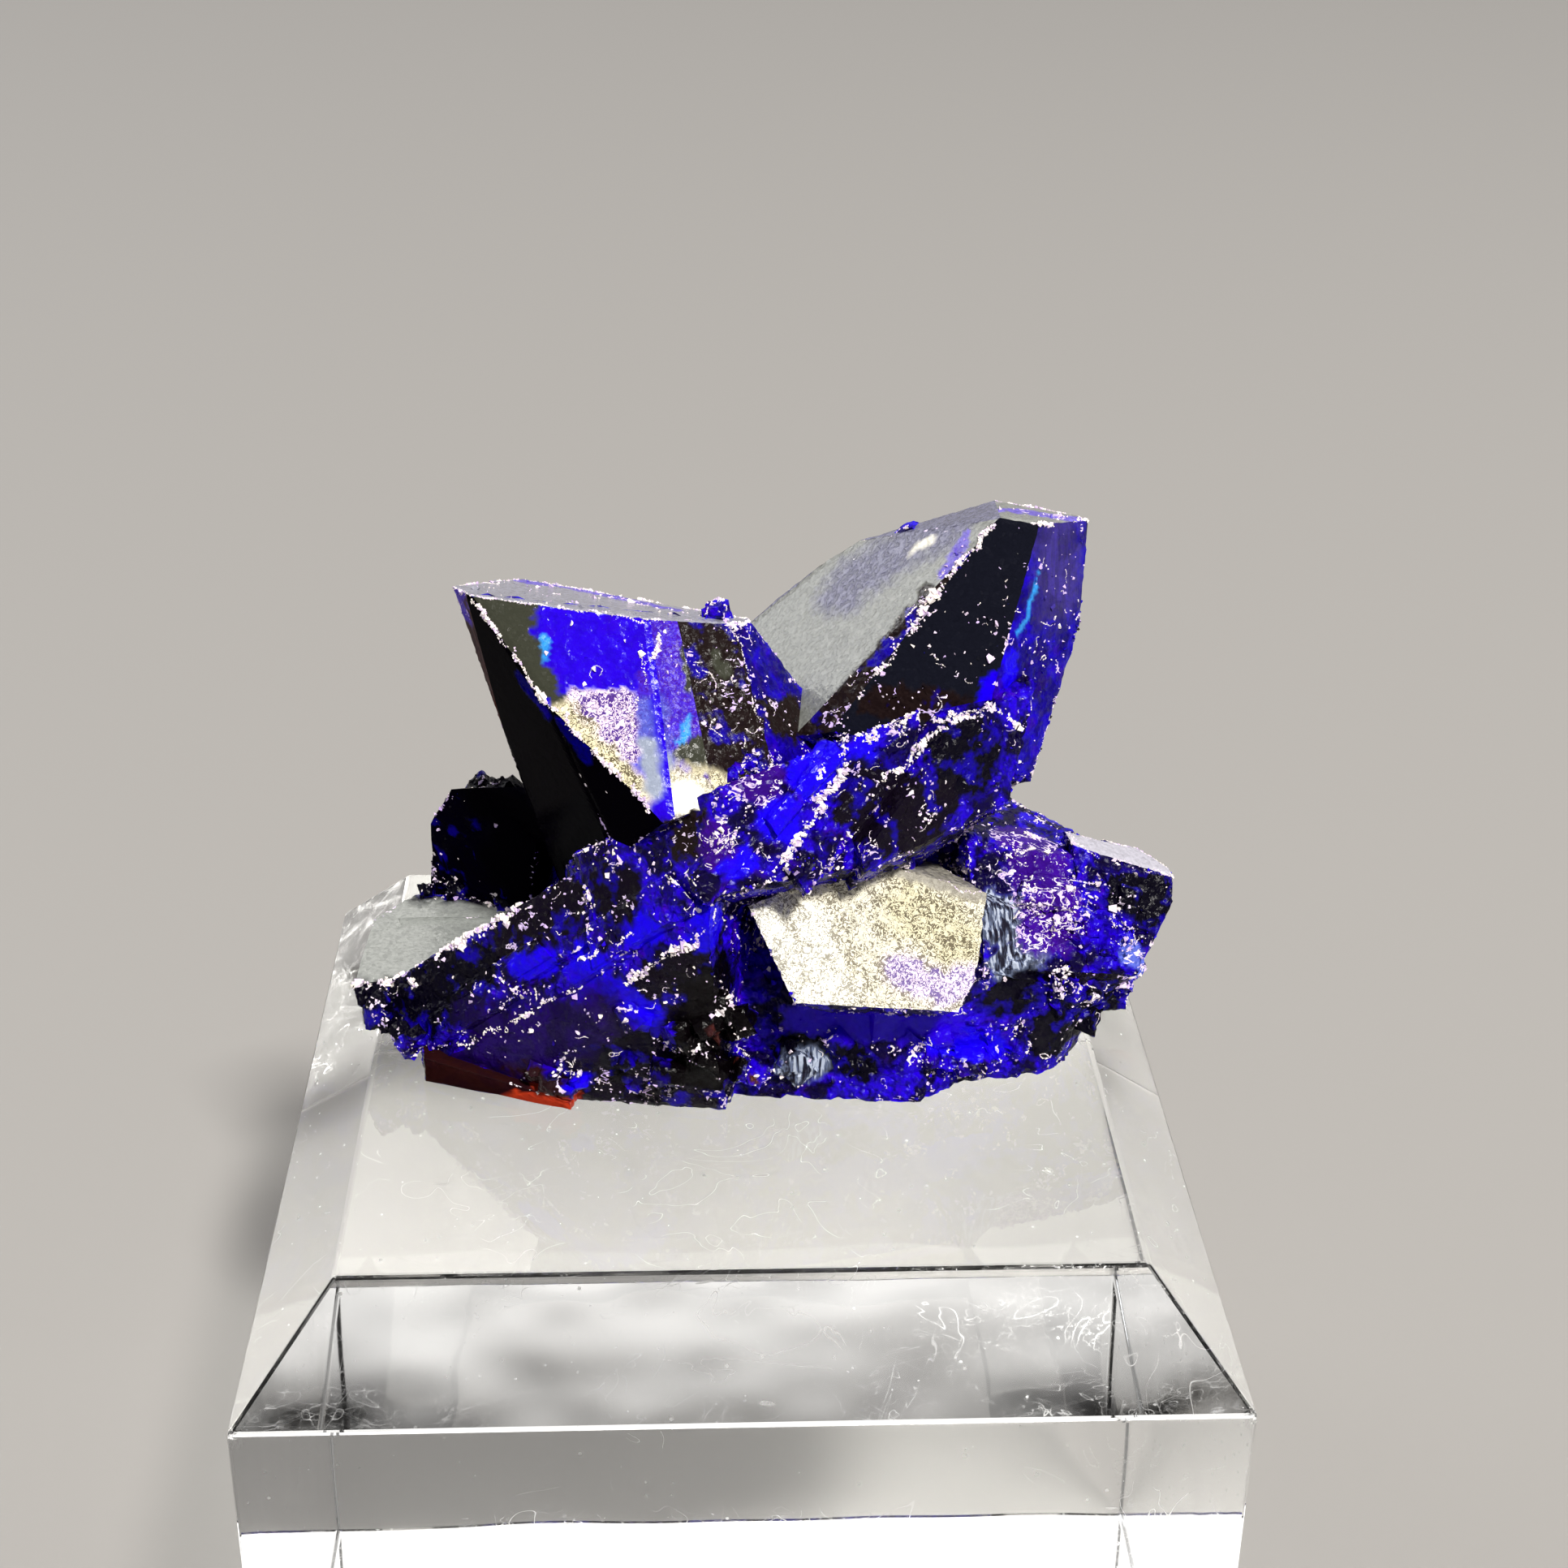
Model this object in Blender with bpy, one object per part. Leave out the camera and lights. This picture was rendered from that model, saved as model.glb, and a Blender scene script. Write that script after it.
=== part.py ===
"""Azurite crystal cluster resting on a clear acrylic display block.

Units are metres, +Z up. The origin is the centre of the block's underside.
+X is to the right and -Y towards the viewer, who sees the wide faces of the
two upright blades.

The cluster is one solid: every crystal is a convex body cut from a cube by
its own flat faces, and a Boolean union joins them where they grow together.
A crystal's face is written as (azimuth, elevation, distance): the direction
that the face looks in, in degrees, and its distance from the crystal's
centre in millimetres. Azimuth 0 looks towards -Y and grows towards +X.
Places in the lists of crystals are in millimetres too, with their heights
counted from a level that lies one inch below the top of the block.
"""

import math
import random

import bmesh
import bpy
from mathutils import Vector

MM = 0.001

# Display block: 2 x 2 inches and 1 1/2 inches tall, with a bevelled top.
BLOCK_SIDE = 0.0508
BLOCK_HEIGHT = 0.0381
BLOCK_BEVEL_IN = 0.0050
BLOCK_BEVEL_DROP = 0.0057
BLOCK_EDGE_ROUND = 0.0004

# The cluster stands on the block with the gap that touching meshes keep.
REST_GAP = 0.0003
FLOOR_OF_CLUSTER = BLOCK_HEIGHT + REST_GAP

# The level that heights in the lists of crystals are counted from.
CRYSTAL_LEVEL = BLOCK_HEIGHT - 0.0254

# Half the side of the cube that every crystal is cut from.
RAW_HALF_SIDE = 0.040

# How deep a ledge is rooted below the face that it stands on.
LEDGE_ROOT = 0.0008

SEED = 13


# Small tools

def clear_scene():
    for old in list(bpy.data.objects):
        bpy.data.objects.remove(old, do_unlink=True)


def material(name, colour, roughness, metallic=0.0, transmission=0.0, ior=1.5):
    mat = bpy.data.materials.new(name)
    mat.use_nodes = True
    shader = mat.node_tree.nodes["Principled BSDF"]
    shader.inputs["Base Color"].default_value = (*colour, 1.0)
    shader.inputs["Roughness"].default_value = roughness
    shader.inputs["Metallic"].default_value = metallic
    shader.inputs["Transmission Weight"].default_value = transmission
    shader.inputs["IOR"].default_value = ior
    return mat


def direction(azimuth, elevation):
    """Unit vector of a face direction given in degrees."""
    azimuth = math.radians(azimuth)
    elevation = math.radians(elevation)
    flat = math.cos(elevation)
    return Vector((math.sin(azimuth) * flat, -math.cos(azimuth) * flat, math.sin(elevation)))


def place(point):
    """A point of the lists, in millimetres above the crystals' level, in metres."""
    return Vector(point) * MM + Vector((0, 0, CRYSTAL_LEVEL))


def add_object(name, bm, mat):
    mesh = bpy.data.meshes.new(name)
    bm.normal_update()
    bm.to_mesh(mesh)
    bm.free()
    mesh.materials.append(mat)
    obj = bpy.data.objects.new(name, mesh)
    bpy.context.collection.objects.link(obj)
    return obj


def cut_solid(centre, planes, half=RAW_HALF_SIDE):
    """A cube around the centre, in metres, cut by (unit normal, distance) planes."""
    bm = bmesh.new()
    bmesh.ops.create_cube(bm, size=2 * half)
    for normal, distance in planes:
        geometry = bm.verts[:] + bm.edges[:] + bm.faces[:]
        cut = bmesh.ops.bisect_plane(
            bm, geom=geometry, plane_co=normal * distance, plane_no=normal, clear_outer=True)
        rim = [item for item in cut["geom_cut"] if isinstance(item, bmesh.types.BMEdge)]
        if len(rim) > 2:
            bmesh.ops.edgeloop_fill(bm, edges=rim)
    bmesh.ops.translate(bm, verts=bm.verts, vec=centre)
    bmesh.ops.recalc_face_normals(bm, faces=bm.faces)
    return bm


class Cluster:
    """Collects the crystals that are fused into one solid."""

    def __init__(self, mat):
        self.mat = mat
        self.parts = bpy.data.collections.new("crystals")
        bpy.context.scene.collection.children.link(self.parts)

    def grow(self, name, centre, planes):
        """Adds a convex body, cut off where the cluster rests."""
        floor = (Vector((0, 0, -1)), centre.z - FLOOR_OF_CLUSTER)
        obj = add_object(name, cut_solid(centre, planes + [floor]), self.mat)
        bpy.context.collection.objects.unlink(obj)
        self.parts.objects.link(obj)
        obj.hide_render = True
        obj.display_type = "WIRE"

    def crystal(self, name, centre, faces):
        """A crystal from its centre in millimetres and its list of faces."""
        planes = [(direction(azimuth, elevation), distance * MM)
                  for azimuth, elevation, distance in faces]
        self.grow(name, place(centre), planes)

    def fuse(self, name, seed_name):
        """One closed solid of all the crystals, grown onto the named one."""
        seed = self.parts.objects[seed_name]
        body = bpy.data.objects.new(name, seed.data)
        self.parts.objects.unlink(seed)
        bpy.data.objects.remove(seed, do_unlink=True)
        bpy.context.collection.objects.link(body)
        union = body.modifiers.new("grow together", "BOOLEAN")
        union.operation = "UNION"
        union.solver = "EXACT"
        union.operand_type = "COLLECTION"
        union.collection = self.parts
        return body


# The big crystals

def left_blade(cluster):
    """Upright wedge on the left: wide front faces under a narrow top."""
    cluster.crystal("left_blade", (-5, 2, 46), [
        (154, 75, 5.7),     # top, a long narrow face
        (-5, 34, 6.9),      # front
        (17, 35, 7.0),      # middle
        (23, 35, 7.05),     # dark strip right of the middle
        (64, 29, 7.8),      # right edge
        (-56, -16, 6.25),   # left, leaning out
        (-41, -11, 6.95),   # left, lower part
        (-63, -15, 6.75),   # narrow strip at the left edge
        (-124, -9, 7.0),
        (156, 17, 3.1),
        (112, 34, 7.1),
        (32, -47, 7.6),     # foot, inside the long crystal
    ])


def right_blade(cluster):
    """Tall wedge on the right: a grey slanting face, a dark front, a blue side."""
    cluster.crystal("right_blade", (12, 3, 44), [
        (-63, 45, 8.35),    # wide face looking up to the left
        (-50, 43, 8.35),    # bright strip between that face and the front
        (0, 23, 6.1),       # dark front
        (43, 6, 4.95),      # blue side
        (60, 6, 6.5),
        (131, 78, 12.7),    # small top
        (-114, 68, 11.1),
        (-105, 47, 11.25),
        (-126, 67, 11.4),
        (117, -7, 5.4),
        (117, -28, 2.65),
        (170, 5, 4.4),
        (-160, 5, 9.0),
        (-10, -45, 3.0),    # foot, inside the crystals in front
    ])


def upper_front_crystal(cluster):
    """Short thick crystal low on the right blade."""
    cluster.crystal("upper_front_crystal", (10, 1, 38), [
        (-40, 77, 9.8),
        (-63, 49, 7.8),
        (26, 15, 7.3),
        (31, 7, 6.15),
        (117, -18, 0.8),
        (41, -44, 1.1),
        (-75, -5, 5.5),
        (180, 20, 2.7),
    ])


def middle_crystal(cluster):
    """Long crystal that lies across the front, rising to the right."""
    cluster.crystal("middle_crystal", (3, -2, 37), [
        (15, 21, 7.2),
        (22, 15, 6.5),
        (-144, 52, 5.75),
        (19, -50, 0.8),
        (-39, 20, 9.3),
        (-75, -10, 11.0),
        (75, 0, 6.5),
        (180, 10, 5.2),
    ])


def long_crystal(cluster):
    """The lower left half of the crystal that lies across the front."""
    cluster.crystal("long_crystal", (-8, -1, 32), [
        (-39, 20, 4.9),     # broad rough face
        (-143, 47, 3.8),
        (-23, -5, 5.8),     # smooth face below it
        (-8, -12, 6.1),
        (70, 0, 9.0),
        (-74, -54, 9.8),
        (175, 20, 6.2),
    ])


def ledge_crystal(cluster):
    """Low crystal at the left end, with a flat grey top like a ledge."""
    cluster.crystal("ledge_crystal", (-17, 3, 28.2), [
        (-5, 88, 1.65),
        (-94, -12, 3.8),
        (-129, 0, 5.6),
        (-74, -54, 2.6),
        (19, 20, 1.9),
        (60, 0, 8.0),
        (178, 0, 6.6),
    ])


def dark_block(cluster):
    """Dark stubby crystal behind the ledge on the left."""
    cluster.crystal("dark_block", (-14.5, 11, 34), [
        (-30, -12, 2.9),
        (-108, 8, 2.5),
        (-121, 34, 2.0),
        (-176, 62, 2.1),
        (56, -15, 5.3),
        (72, 45, 4.7),
        (175, 0, 3.0),
    ])


def pale_crystal(cluster):
    """Crystal at the front with one broad flat face turned up to the light."""
    cluster.crystal("pale_crystal", (7, -2, 32), [
        (10, 40, 6.25),     # the broad face
        (140, 64, 6.2),
        (-136, 62, 6.15),
        (-92, -31, 2.3),
        (-5, -53, 3.0),
        (84, -35, 3.8),
        (101, -21, 3.45),
        (180, 0, 5.0),
    ])


def striated_crystal(cluster):
    """Small grooved crystal right of the broad face."""
    cluster.crystal("striated_crystal", (14, 0, 32), [
        (38, 14, 4.0),
        (120, 63, 3.4),
        (97, -26, 1.0),
        (19, -62, 1.5),
        (-80, 0, 1.6),
        (180, 0, 3.0),
    ])


def right_crystal(cluster):
    """Low crystal that closes the right side, with a small one at its end."""
    cluster.crystal("right_crystal", (18, 3, 32), [
        (15, 35, 5.8),
        (122, 54, 4.7),
        (105, 75, 5.3),
        (100, -15, 4.65),
        (93, -38, 3.1),
        (5, -25, 6.1),
        (-80, 0, 6.0),
        (180, 10, 6.2),
    ])
    cluster.crystal("right_end", (21.5, 1, 34), [
        (15, 35, 2.4),
        (90, 70, 2.95),     # pale top
        (180, 30, 2.7),
        (135, 20, 2.75),
        (100, -15, 2.2),
        (93, -38, 1.6),
        (5, -25, 4.8),
        (-80, 0, 3.0),
    ])


def base_mass(cluster):
    """The lump of grown-together crystals that the cluster stands on."""
    cluster.crystal("base_front", (6, -2, 28.5), [
        (-5, 10, 3.6),
        (35, 15, 5.0),
        (-60, 0, 8.0),
        (10, 60, 4.0),
        (75, 0, 9.0),
        (180, 0, 5.0),
    ])
    cluster.crystal("base_left", (-8, 1, 28), [
        (-8, -10, 6.0),
        (-50, -10, 8.0),
        (-80, -25, 8.5),
        (0, 85, 1.5),
        (60, 10, 9.0),
        (180, 0, 6.0),
    ])
    cluster.crystal("base_left_foot", (-13, 0, 26.6), [
        (-20, -8, 5.1),
        (-50, -10, 5.9),
        (-85, 0, 4.6),
        (90, 82, 0.25),
        (70, 0, 6.0),
        (180, 0, 5.0),
    ])
    cluster.crystal("base_right", (13, 2, 28.5), [
        (10, -5, 6.6),
        (48, -15, 7.6),
        (85, -35, 6.5),
        (95, 70, 4.5),
        (-70, 0, 8.0),
        (180, 5, 7.0),
    ])


def back_crystals(cluster):
    """The far side: three stubby crystals between the two blades' backs."""
    cluster.crystal("back_left", (-7, 8, 32), [
        (-170, 25, 5.0),
        (140, 10, 5.5),
        (-125, -5, 4.0),
        (-150, 60, 4.0),
        (-80, 20, 3.5),
        (90, 0, 6.0),
        (0, 0, 6.0),
        (-20, 75, 4.0),
    ])
    cluster.crystal("back_middle", (3, 8, 36), [
        (170, 35, 4.5),
        (-165, 0, 5.0),
        (120, 20, 6.0),
        (-110, 30, 6.0),
        (0, 0, 6.0),
        (30, 75, 5.0),
    ])
    cluster.crystal("back_right", (12, 8, 30), [
        (150, 30, 5.0),
        (-170, 5, 5.0),
        (95, 10, 5.0),
        (-90, 0, 6.0),
        (0, 0, 6.0),
        (120, 65, 3.6),
    ])


# Small growth: ledges on the faces, and small crystals along the edges

def ledge(cluster, rng, name, on, face, along, length, width, height):
    """A thin raised step on a face: `on` is its middle, `along` its long way."""
    normal = direction(*face)
    long_way = Vector(along)
    long_way = (long_way - long_way.dot(normal) * normal).normalized()
    across = normal.cross(long_way)
    skew = rng.uniform(0.15, 0.5)
    planes = [
        (normal, height * MM),
        (-normal, LEDGE_ROOT),
        ((across + 0.35 * normal).normalized(), width / 2 * MM),
        ((-across + 0.35 * normal).normalized(), width / 2 * MM),
        ((long_way + skew * across).normalized(), length / 2 * MM),
        ((-long_way + skew * across).normalized(), length / 2 * MM),
        ((long_way - 0.8 * across).normalized(), 0.55 * length * MM),
    ]
    cluster.grow(name, place(on), planes)


def ledges(cluster, rng):
    """Parallel steps that run with the crystals they stand on."""
    lower_run = (1.0, -0.38, 0.92)
    upper_run = (1.0, 0.24, 0.99)
    upright = (0.3, 0.8, 1.0)
    rows = [
        # on, face, along, length, width, height
        ("long_1", (-9.5, -4.9, 35.2), (-39, 20), lower_run, 9.0, 2.0, 0.35),
        ("long_2", (-12.8, -3.6, 32.4), (-39, 20), lower_run, 7.0, 1.6, 0.45),
        ("long_3", (-5.2, -7.4, 38.2), (-39, 20), lower_run, 6.5, 2.4, 0.4),
        ("long_4", (-14.6, -3.4, 30.2), (-39, 20), lower_run, 6.0, 1.8, 0.3),
        ("long_5", (-7.6, -6.6, 35.0), (-39, 20), lower_run, 5.0, 1.4, 0.5),
        ("middle_1", (0.4, -7.9, 43.2), (15, 21), upper_run, 7.5, 1.7, 0.35),
        ("middle_2", (3.4, -6.6, 45.4), (15, 21), upper_run, 5.5, 1.2, 0.45),
        ("middle_3", (5.0, -7.0, 43.0), (22, 15), upper_run, 6.5, 1.8, 0.35),
        ("upper_1", (11.2, -4.0, 45.2), (26, 15), upper_run, 5.5, 1.6, 0.3),
        ("upper_2", (9.6, -4.7, 43.2), (26, 15), upper_run, 5.0, 1.4, 0.35),
        ("right_1", (18.4, -1.4, 36.0), (15, 35), (1, 0.2, -0.3), 5.0, 1.6, 0.4),
        ("right_2", (20.5, -1.6, 34.6), (15, 35), (1, 0.2, -0.3), 4.5, 1.4, 0.5),
        ("right_3", (16.9, -1.9, 36.1), (15, 35), (1, 0.2, -0.3), 3.0, 1.4, 0.5),
        ("back_1", (3.0, 12.0, 37.5), (170, 35), (1, 0, 0.3), 7.0, 2.0, 0.5),
        ("back_2", (-7.5, 12.6, 33.0), (-170, 25), (1, 0, 0.4), 5.0, 1.6, 0.5),
        ("back_3", (10.5, 7.2, 47.0), (170, 5), upright, 13.0, 5.0, 0.35),
        ("back_4", (-3.6, 6.4, 45.5), (156, 17), upright, 9.0, 5.0, 0.35),
    ]
    for name, on, face, along, length, width, height in rows:
        ledge(cluster, rng, "ledge_" + name, on, face, along, length, width, height)


def small_crystal(cluster, rng, name, centre, size, lean):
    """A stubby blade with a wedge-shaped end that points about where it leans."""
    jitter = Vector([rng.uniform(-0.45, 0.45) for _ in range(3)])
    axis = (lean + jitter).normalized()
    side = axis.cross(Vector([rng.uniform(-1, 1) for _ in range(3)])).normalized()
    other = axis.cross(side)
    half = size / 2
    width = half * rng.uniform(0.6, 0.95)
    depth = half * rng.uniform(0.4, 0.75)
    wedge = rng.uniform(0.5, 1.1)
    planes = [
        (side, width), (-side, width), (other, depth), (-other, depth),
        ((axis + wedge * other).normalized(), half * 0.9),
        ((axis - 0.6 * wedge * other).normalized(), half),
        ((axis + 0.5 * side).normalized(), half),
        (-axis, half),
    ]
    cluster.grow(name, centre, planes)


def small_crystals(cluster, rng):
    """Crusts of small crystals, each spread over a patch with two sides."""
    patches = [
        # name, corner, first side, second side, count, sizes, lean
        ("left_end", (-20.3, -1.0, 28.8), (3.2, -2.8, -1.6), (0, 0, 1.0), 8, (0.9, 1.7), (-35, 10)),
        ("foot_left", (-11.5, -5.6, 26.9), (4.0, -1.0, 0), (0, 0, 0.8), 5, (1.0, 1.8), (-15, -10)),
        ("foot_middle", (-7.0, -6.1, 27.0), (8.5, 0.4, 0), (0, 0, 1.6), 9, (1.1, 2.0), (0, 0)),
        ("front_recess", (-6.6, -7.0, 28.6), (7.4, -0.6, 0), (0, -0.3, 5.0), 14, (1.4, 2.6), (10, 10)),
        ("foot_right", (1.5, -5.3, 27.0), (12.0, 0.8, 0), (0, 0, 2.4), 22, (1.3, 2.6), (5, 10)),
        ("right_foot", (13.5, -4.0, 27.0), (8.0, 2.4, 1.0), (0, 0, 3.0), 18, (1.3, 2.6), (30, 0)),
        ("right_side", (21.4, -2.4, 30.4), (1.6, 3.5, 3.0), (0, 0, 1.5), 12, (1.0, 2.0), (60, 10)),
        ("right_face", (15.0, -0.6, 37.2), (6.8, 0.0, -1.6), (0.4, -2.4, -3.6), 20, (1.0, 2.0), (15, 50)),
        ("right_notch", (13.4, -3.6, 33.6), (5.0, 0.0, -1.0), (0, -0.6, -2.0), 8, (1.0, 1.8), (20, 20)),
        ("dark_block_top", (-17.2, 9.0, 35.4), (4.4, -1.2, 2.0), (0.4, 2.5, 0), 9, (1.0, 2.0), (-60, 60)),
        ("ledge_back", (-18.5, 9.6, 30.0), (5.5, -1.5, 0), (0, 0.8, 0.6), 7, (0.9, 1.7), (-40, 40)),
        ("blade_top", (-1.4, 0.5, 51.9), (0.6, -0.2, 0), (0, 0.4, 0), 2, (1.5, 1.9), (-20, 60)),
        ("blade_foot", (-3.2, -6.4, 44.4), (5.0, 2.2, 1.6), (0, 0.4, 0.4), 7, (0.8, 1.5), (-10, 50)),
        ("back_left", (-12.5, 12.5, 28.0), (8.0, 2.0, 0), (0, -0.6, 5.0), 14, (2.0, 4.5), (-170, 20)),
        ("back_middle", (-2.0, 13.8, 28.0), (8.0, 0, 0), (0, -1.4, 7.0), 14, (2.0, 4.5), (175, 20)),
        ("back_right", (7.5, 13.6, 27.5), (9.0, -2.0, 0), (0, -1.0, 5.0), 14, (2.0, 4.5), (160, 20)),
        ("back_foot", (-13.0, 12.8, 26.8), (30.0, 0.4, 0), (0, 0, 0.6), 18, (1.5, 2.8), (180, 0)),
    ]
    for name, corner, first, second, count, sizes, lean in patches:
        for i in range(count):
            spot = place(Vector(corner) + Vector(first) * rng.random() + Vector(second) * rng.random())
            size = rng.uniform(*sizes) * MM
            spot.z = max(spot.z, FLOOR_OF_CLUSTER + 0.6 * size)
            small_crystal(cluster, rng, f"{name}_{i}", spot, size, direction(*lean))


def display_block(mat):
    """Clear slab: upright sides, a wide bevel and a flat top."""
    bm = bmesh.new()
    half = BLOCK_SIDE / 2
    levels = [
        (half, 0.0),
        (half, BLOCK_HEIGHT - BLOCK_BEVEL_DROP),
        (half - BLOCK_BEVEL_IN, BLOCK_HEIGHT),
    ]
    corners = [(-1, -1), (1, -1), (1, 1), (-1, 1)]
    rings = [[bm.verts.new((x * reach, y * reach, z)) for x, y in corners]
             for reach, z in levels]
    bm.faces.new(reversed(rings[0]))
    bm.faces.new(rings[-1])
    for low, high in zip(rings, rings[1:]):
        for i in range(4):
            j = (i + 1) % 4
            bm.faces.new((low[i], low[j], high[j], high[i]))
    bmesh.ops.bevel(
        bm, geom=bm.edges[:], offset=BLOCK_EDGE_ROUND, segments=1, profile=0.5, affect="EDGES")
    return add_object("acrylic_display_block", bm, mat)


def main():
    clear_scene()
    azurite = material("azurite", (0.010, 0.016, 0.30), 0.22)
    acrylic = material("clear_acrylic", (0.95, 0.96, 0.96), 0.05, transmission=1.0, ior=1.49)
    cluster = Cluster(azurite)
    left_blade(cluster)
    right_blade(cluster)
    upper_front_crystal(cluster)
    middle_crystal(cluster)
    long_crystal(cluster)
    ledge_crystal(cluster)
    dark_block(cluster)
    pale_crystal(cluster)
    striated_crystal(cluster)
    right_crystal(cluster)
    base_mass(cluster)
    back_crystals(cluster)
    rng = random.Random(SEED)
    ledges(cluster, rng)
    small_crystals(cluster, rng)
    cluster.fuse("azurite_cluster", "left_blade")
    display_block(acrylic)


main()
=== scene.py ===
import math

import bmesh
import bpy
import numpy as np
from mathutils import Matrix, Vector, kdtree, noise
from mathutils.bvhtree import BVHTree


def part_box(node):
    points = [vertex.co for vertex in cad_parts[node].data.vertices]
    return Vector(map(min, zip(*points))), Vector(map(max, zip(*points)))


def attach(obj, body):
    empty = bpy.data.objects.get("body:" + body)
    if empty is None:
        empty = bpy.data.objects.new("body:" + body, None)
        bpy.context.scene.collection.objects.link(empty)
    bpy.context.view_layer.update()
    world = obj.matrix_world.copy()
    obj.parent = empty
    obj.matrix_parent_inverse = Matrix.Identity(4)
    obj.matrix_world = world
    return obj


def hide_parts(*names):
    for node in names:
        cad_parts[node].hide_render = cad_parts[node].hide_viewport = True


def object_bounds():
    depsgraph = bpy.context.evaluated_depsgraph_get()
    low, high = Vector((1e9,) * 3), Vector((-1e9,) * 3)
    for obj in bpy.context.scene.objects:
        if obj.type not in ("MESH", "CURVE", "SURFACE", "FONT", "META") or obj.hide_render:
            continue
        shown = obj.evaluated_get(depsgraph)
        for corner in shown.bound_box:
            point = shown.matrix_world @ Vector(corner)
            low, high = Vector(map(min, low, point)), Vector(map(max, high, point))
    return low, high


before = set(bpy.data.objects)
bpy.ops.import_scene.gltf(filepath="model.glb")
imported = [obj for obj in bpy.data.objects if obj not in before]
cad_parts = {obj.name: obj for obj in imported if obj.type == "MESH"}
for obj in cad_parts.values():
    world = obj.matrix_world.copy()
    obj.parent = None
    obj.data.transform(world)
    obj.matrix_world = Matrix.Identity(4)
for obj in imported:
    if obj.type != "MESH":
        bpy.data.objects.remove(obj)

cad_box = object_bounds()
MM = 0.001

# Places on the cluster are given in mm, with their heights counted from a level that
# lies one inch below the top of the display block.
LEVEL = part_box("acrylic_display_block")[1].z / MM - 25.4


# ---------------------------------------------------------------------------
# Azurite cluster: its mesh.
# One lump of grown-together azurite. Flat mirror facets stand between faces
# that are covered with growth hillocks, and the edges are ragged.
# ---------------------------------------------------------------------------

def facing(azimuth, elevation):
    """Direction given in degrees: azimuth 0 looks to the viewer, then to the right."""
    a, e = math.radians(azimuth), math.radians(elevation)
    return np.array([math.sin(a) * math.cos(e), -math.cos(a) * math.cos(e), math.sin(e)])


# The large facets: crystal's centre and face (azimuth, elevation, distance) in mm,
# then the finish.
LEFT, RIGHT, PALE = (-5, 2, 46), (12, 3, 44), (7, -2, 32)
LONG, LEDGE, FOOT = (-8, -1, 32), (-17, 3, 28.2), (-13, 0, 26.6)
STUB, LOW, END = (-14.5, 11, 34), (18, 3, 32), (21.5, 1, 34)
facets = {
    "left_top": (LEFT, 154, 75, 5.7, "lilac"),
    "left_front": (LEFT, -5, 34, 6.9, "blue"),
    "left_middle": (LEFT, 17, 35, 7.0, "hatched"),
    "left_strip": (LEFT, 23, 35, 7.05, "umber"),
    "left_right": (LEFT, 64, 29, 7.8, "speckled"),
    "left_left": (LEFT, -56, -16, 6.25, "black"),
    "left_low": (LEFT, -41, -11, 6.95, "black"),
    "left_narrow": (LEFT, -63, -15, 6.75, "mauve"),
    "left_back_left": (LEFT, -124, -9, 7.0, "black"),
    "left_back": (LEFT, 156, 17, 3.1, "grey"),
    "left_back_right": (LEFT, 112, 34, 7.1, "speckled"),
    "right_grey": (RIGHT, -63, 45, 8.35, "grey"),
    "right_strip": (RIGHT, -50, 43, 8.35, "umber"),
    "right_front": (RIGHT, 0, 23, 6.1, "smoky"),
    "right_blue": (RIGHT, 43, 6, 4.95, "speckled"),
    "right_rim": (RIGHT, 60, 6, 6.5, "dark"),
    "right_top": (RIGHT, 131, 78, 12.7, "grey"),
    "right_roof_1": (RIGHT, -114, 68, 11.1, "dusk"),
    "right_roof_2": (RIGHT, -105, 47, 11.25, "dusk"),
    "right_roof_3": (RIGHT, -126, 67, 11.4, "dusk"),
    "right_side": (RIGHT, 117, -7, 5.4, "speckled"),
    "right_under": (RIGHT, 117, -28, 2.65, "dark"),
    "right_back": (RIGHT, 170, 5, 4.4, "grey"),
    "right_back_left": (RIGHT, -160, 5, 9.0, "grey"),
    "pale_face": (PALE, 10, 40, 6.25, "pale"),
    "pale_bevel_right": (PALE, 140, 64, 6.2, "bevel"),
    "pale_bevel_left": (PALE, -136, 62, 6.15, "bevel"),
    "long_smooth": (LONG, -23, -5, 5.8, "violet"),
    "long_mirror": (LONG, -8, -12, 6.1, "dark"),
    "ledge_top": (LEDGE, -5, 88, 1.65, "slate"),
    "ledge_end": (LEDGE, -94, -12, 3.8, "black"),
    "ledge_corner": (LEDGE, -129, 0, 5.6, "black"),
    "ledge_front": (LEDGE, 19, 20, 1.9, "ink"),
    "foot_front": (FOOT, -20, -8, 5.1, "brown"),
    "foot_left": (FOOT, -50, -10, 5.9, "brown"),
    "foot_top": (FOOT, 90, 82, 0.25, "brown"),
    "stub_front": (STUB, -30, -12, 2.9, "black"),
    "stub_left": (STUB, -108, 8, 2.5, "black"),
    "stub_shoulder": (STUB, -121, 34, 2.0, "black"),
    "stub_top": (STUB, -176, 62, 2.1, "black"),
    "stub_right": (STUB, 56, -15, 5.3, "black"),
    "stub_roof": (STUB, 72, 45, 4.7, "black"),
    "low_under": (LOW, 5, -25, 6.1, "dark"),
    "end_top": (END, 90, 70, 2.95, "lens"),
}

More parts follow.
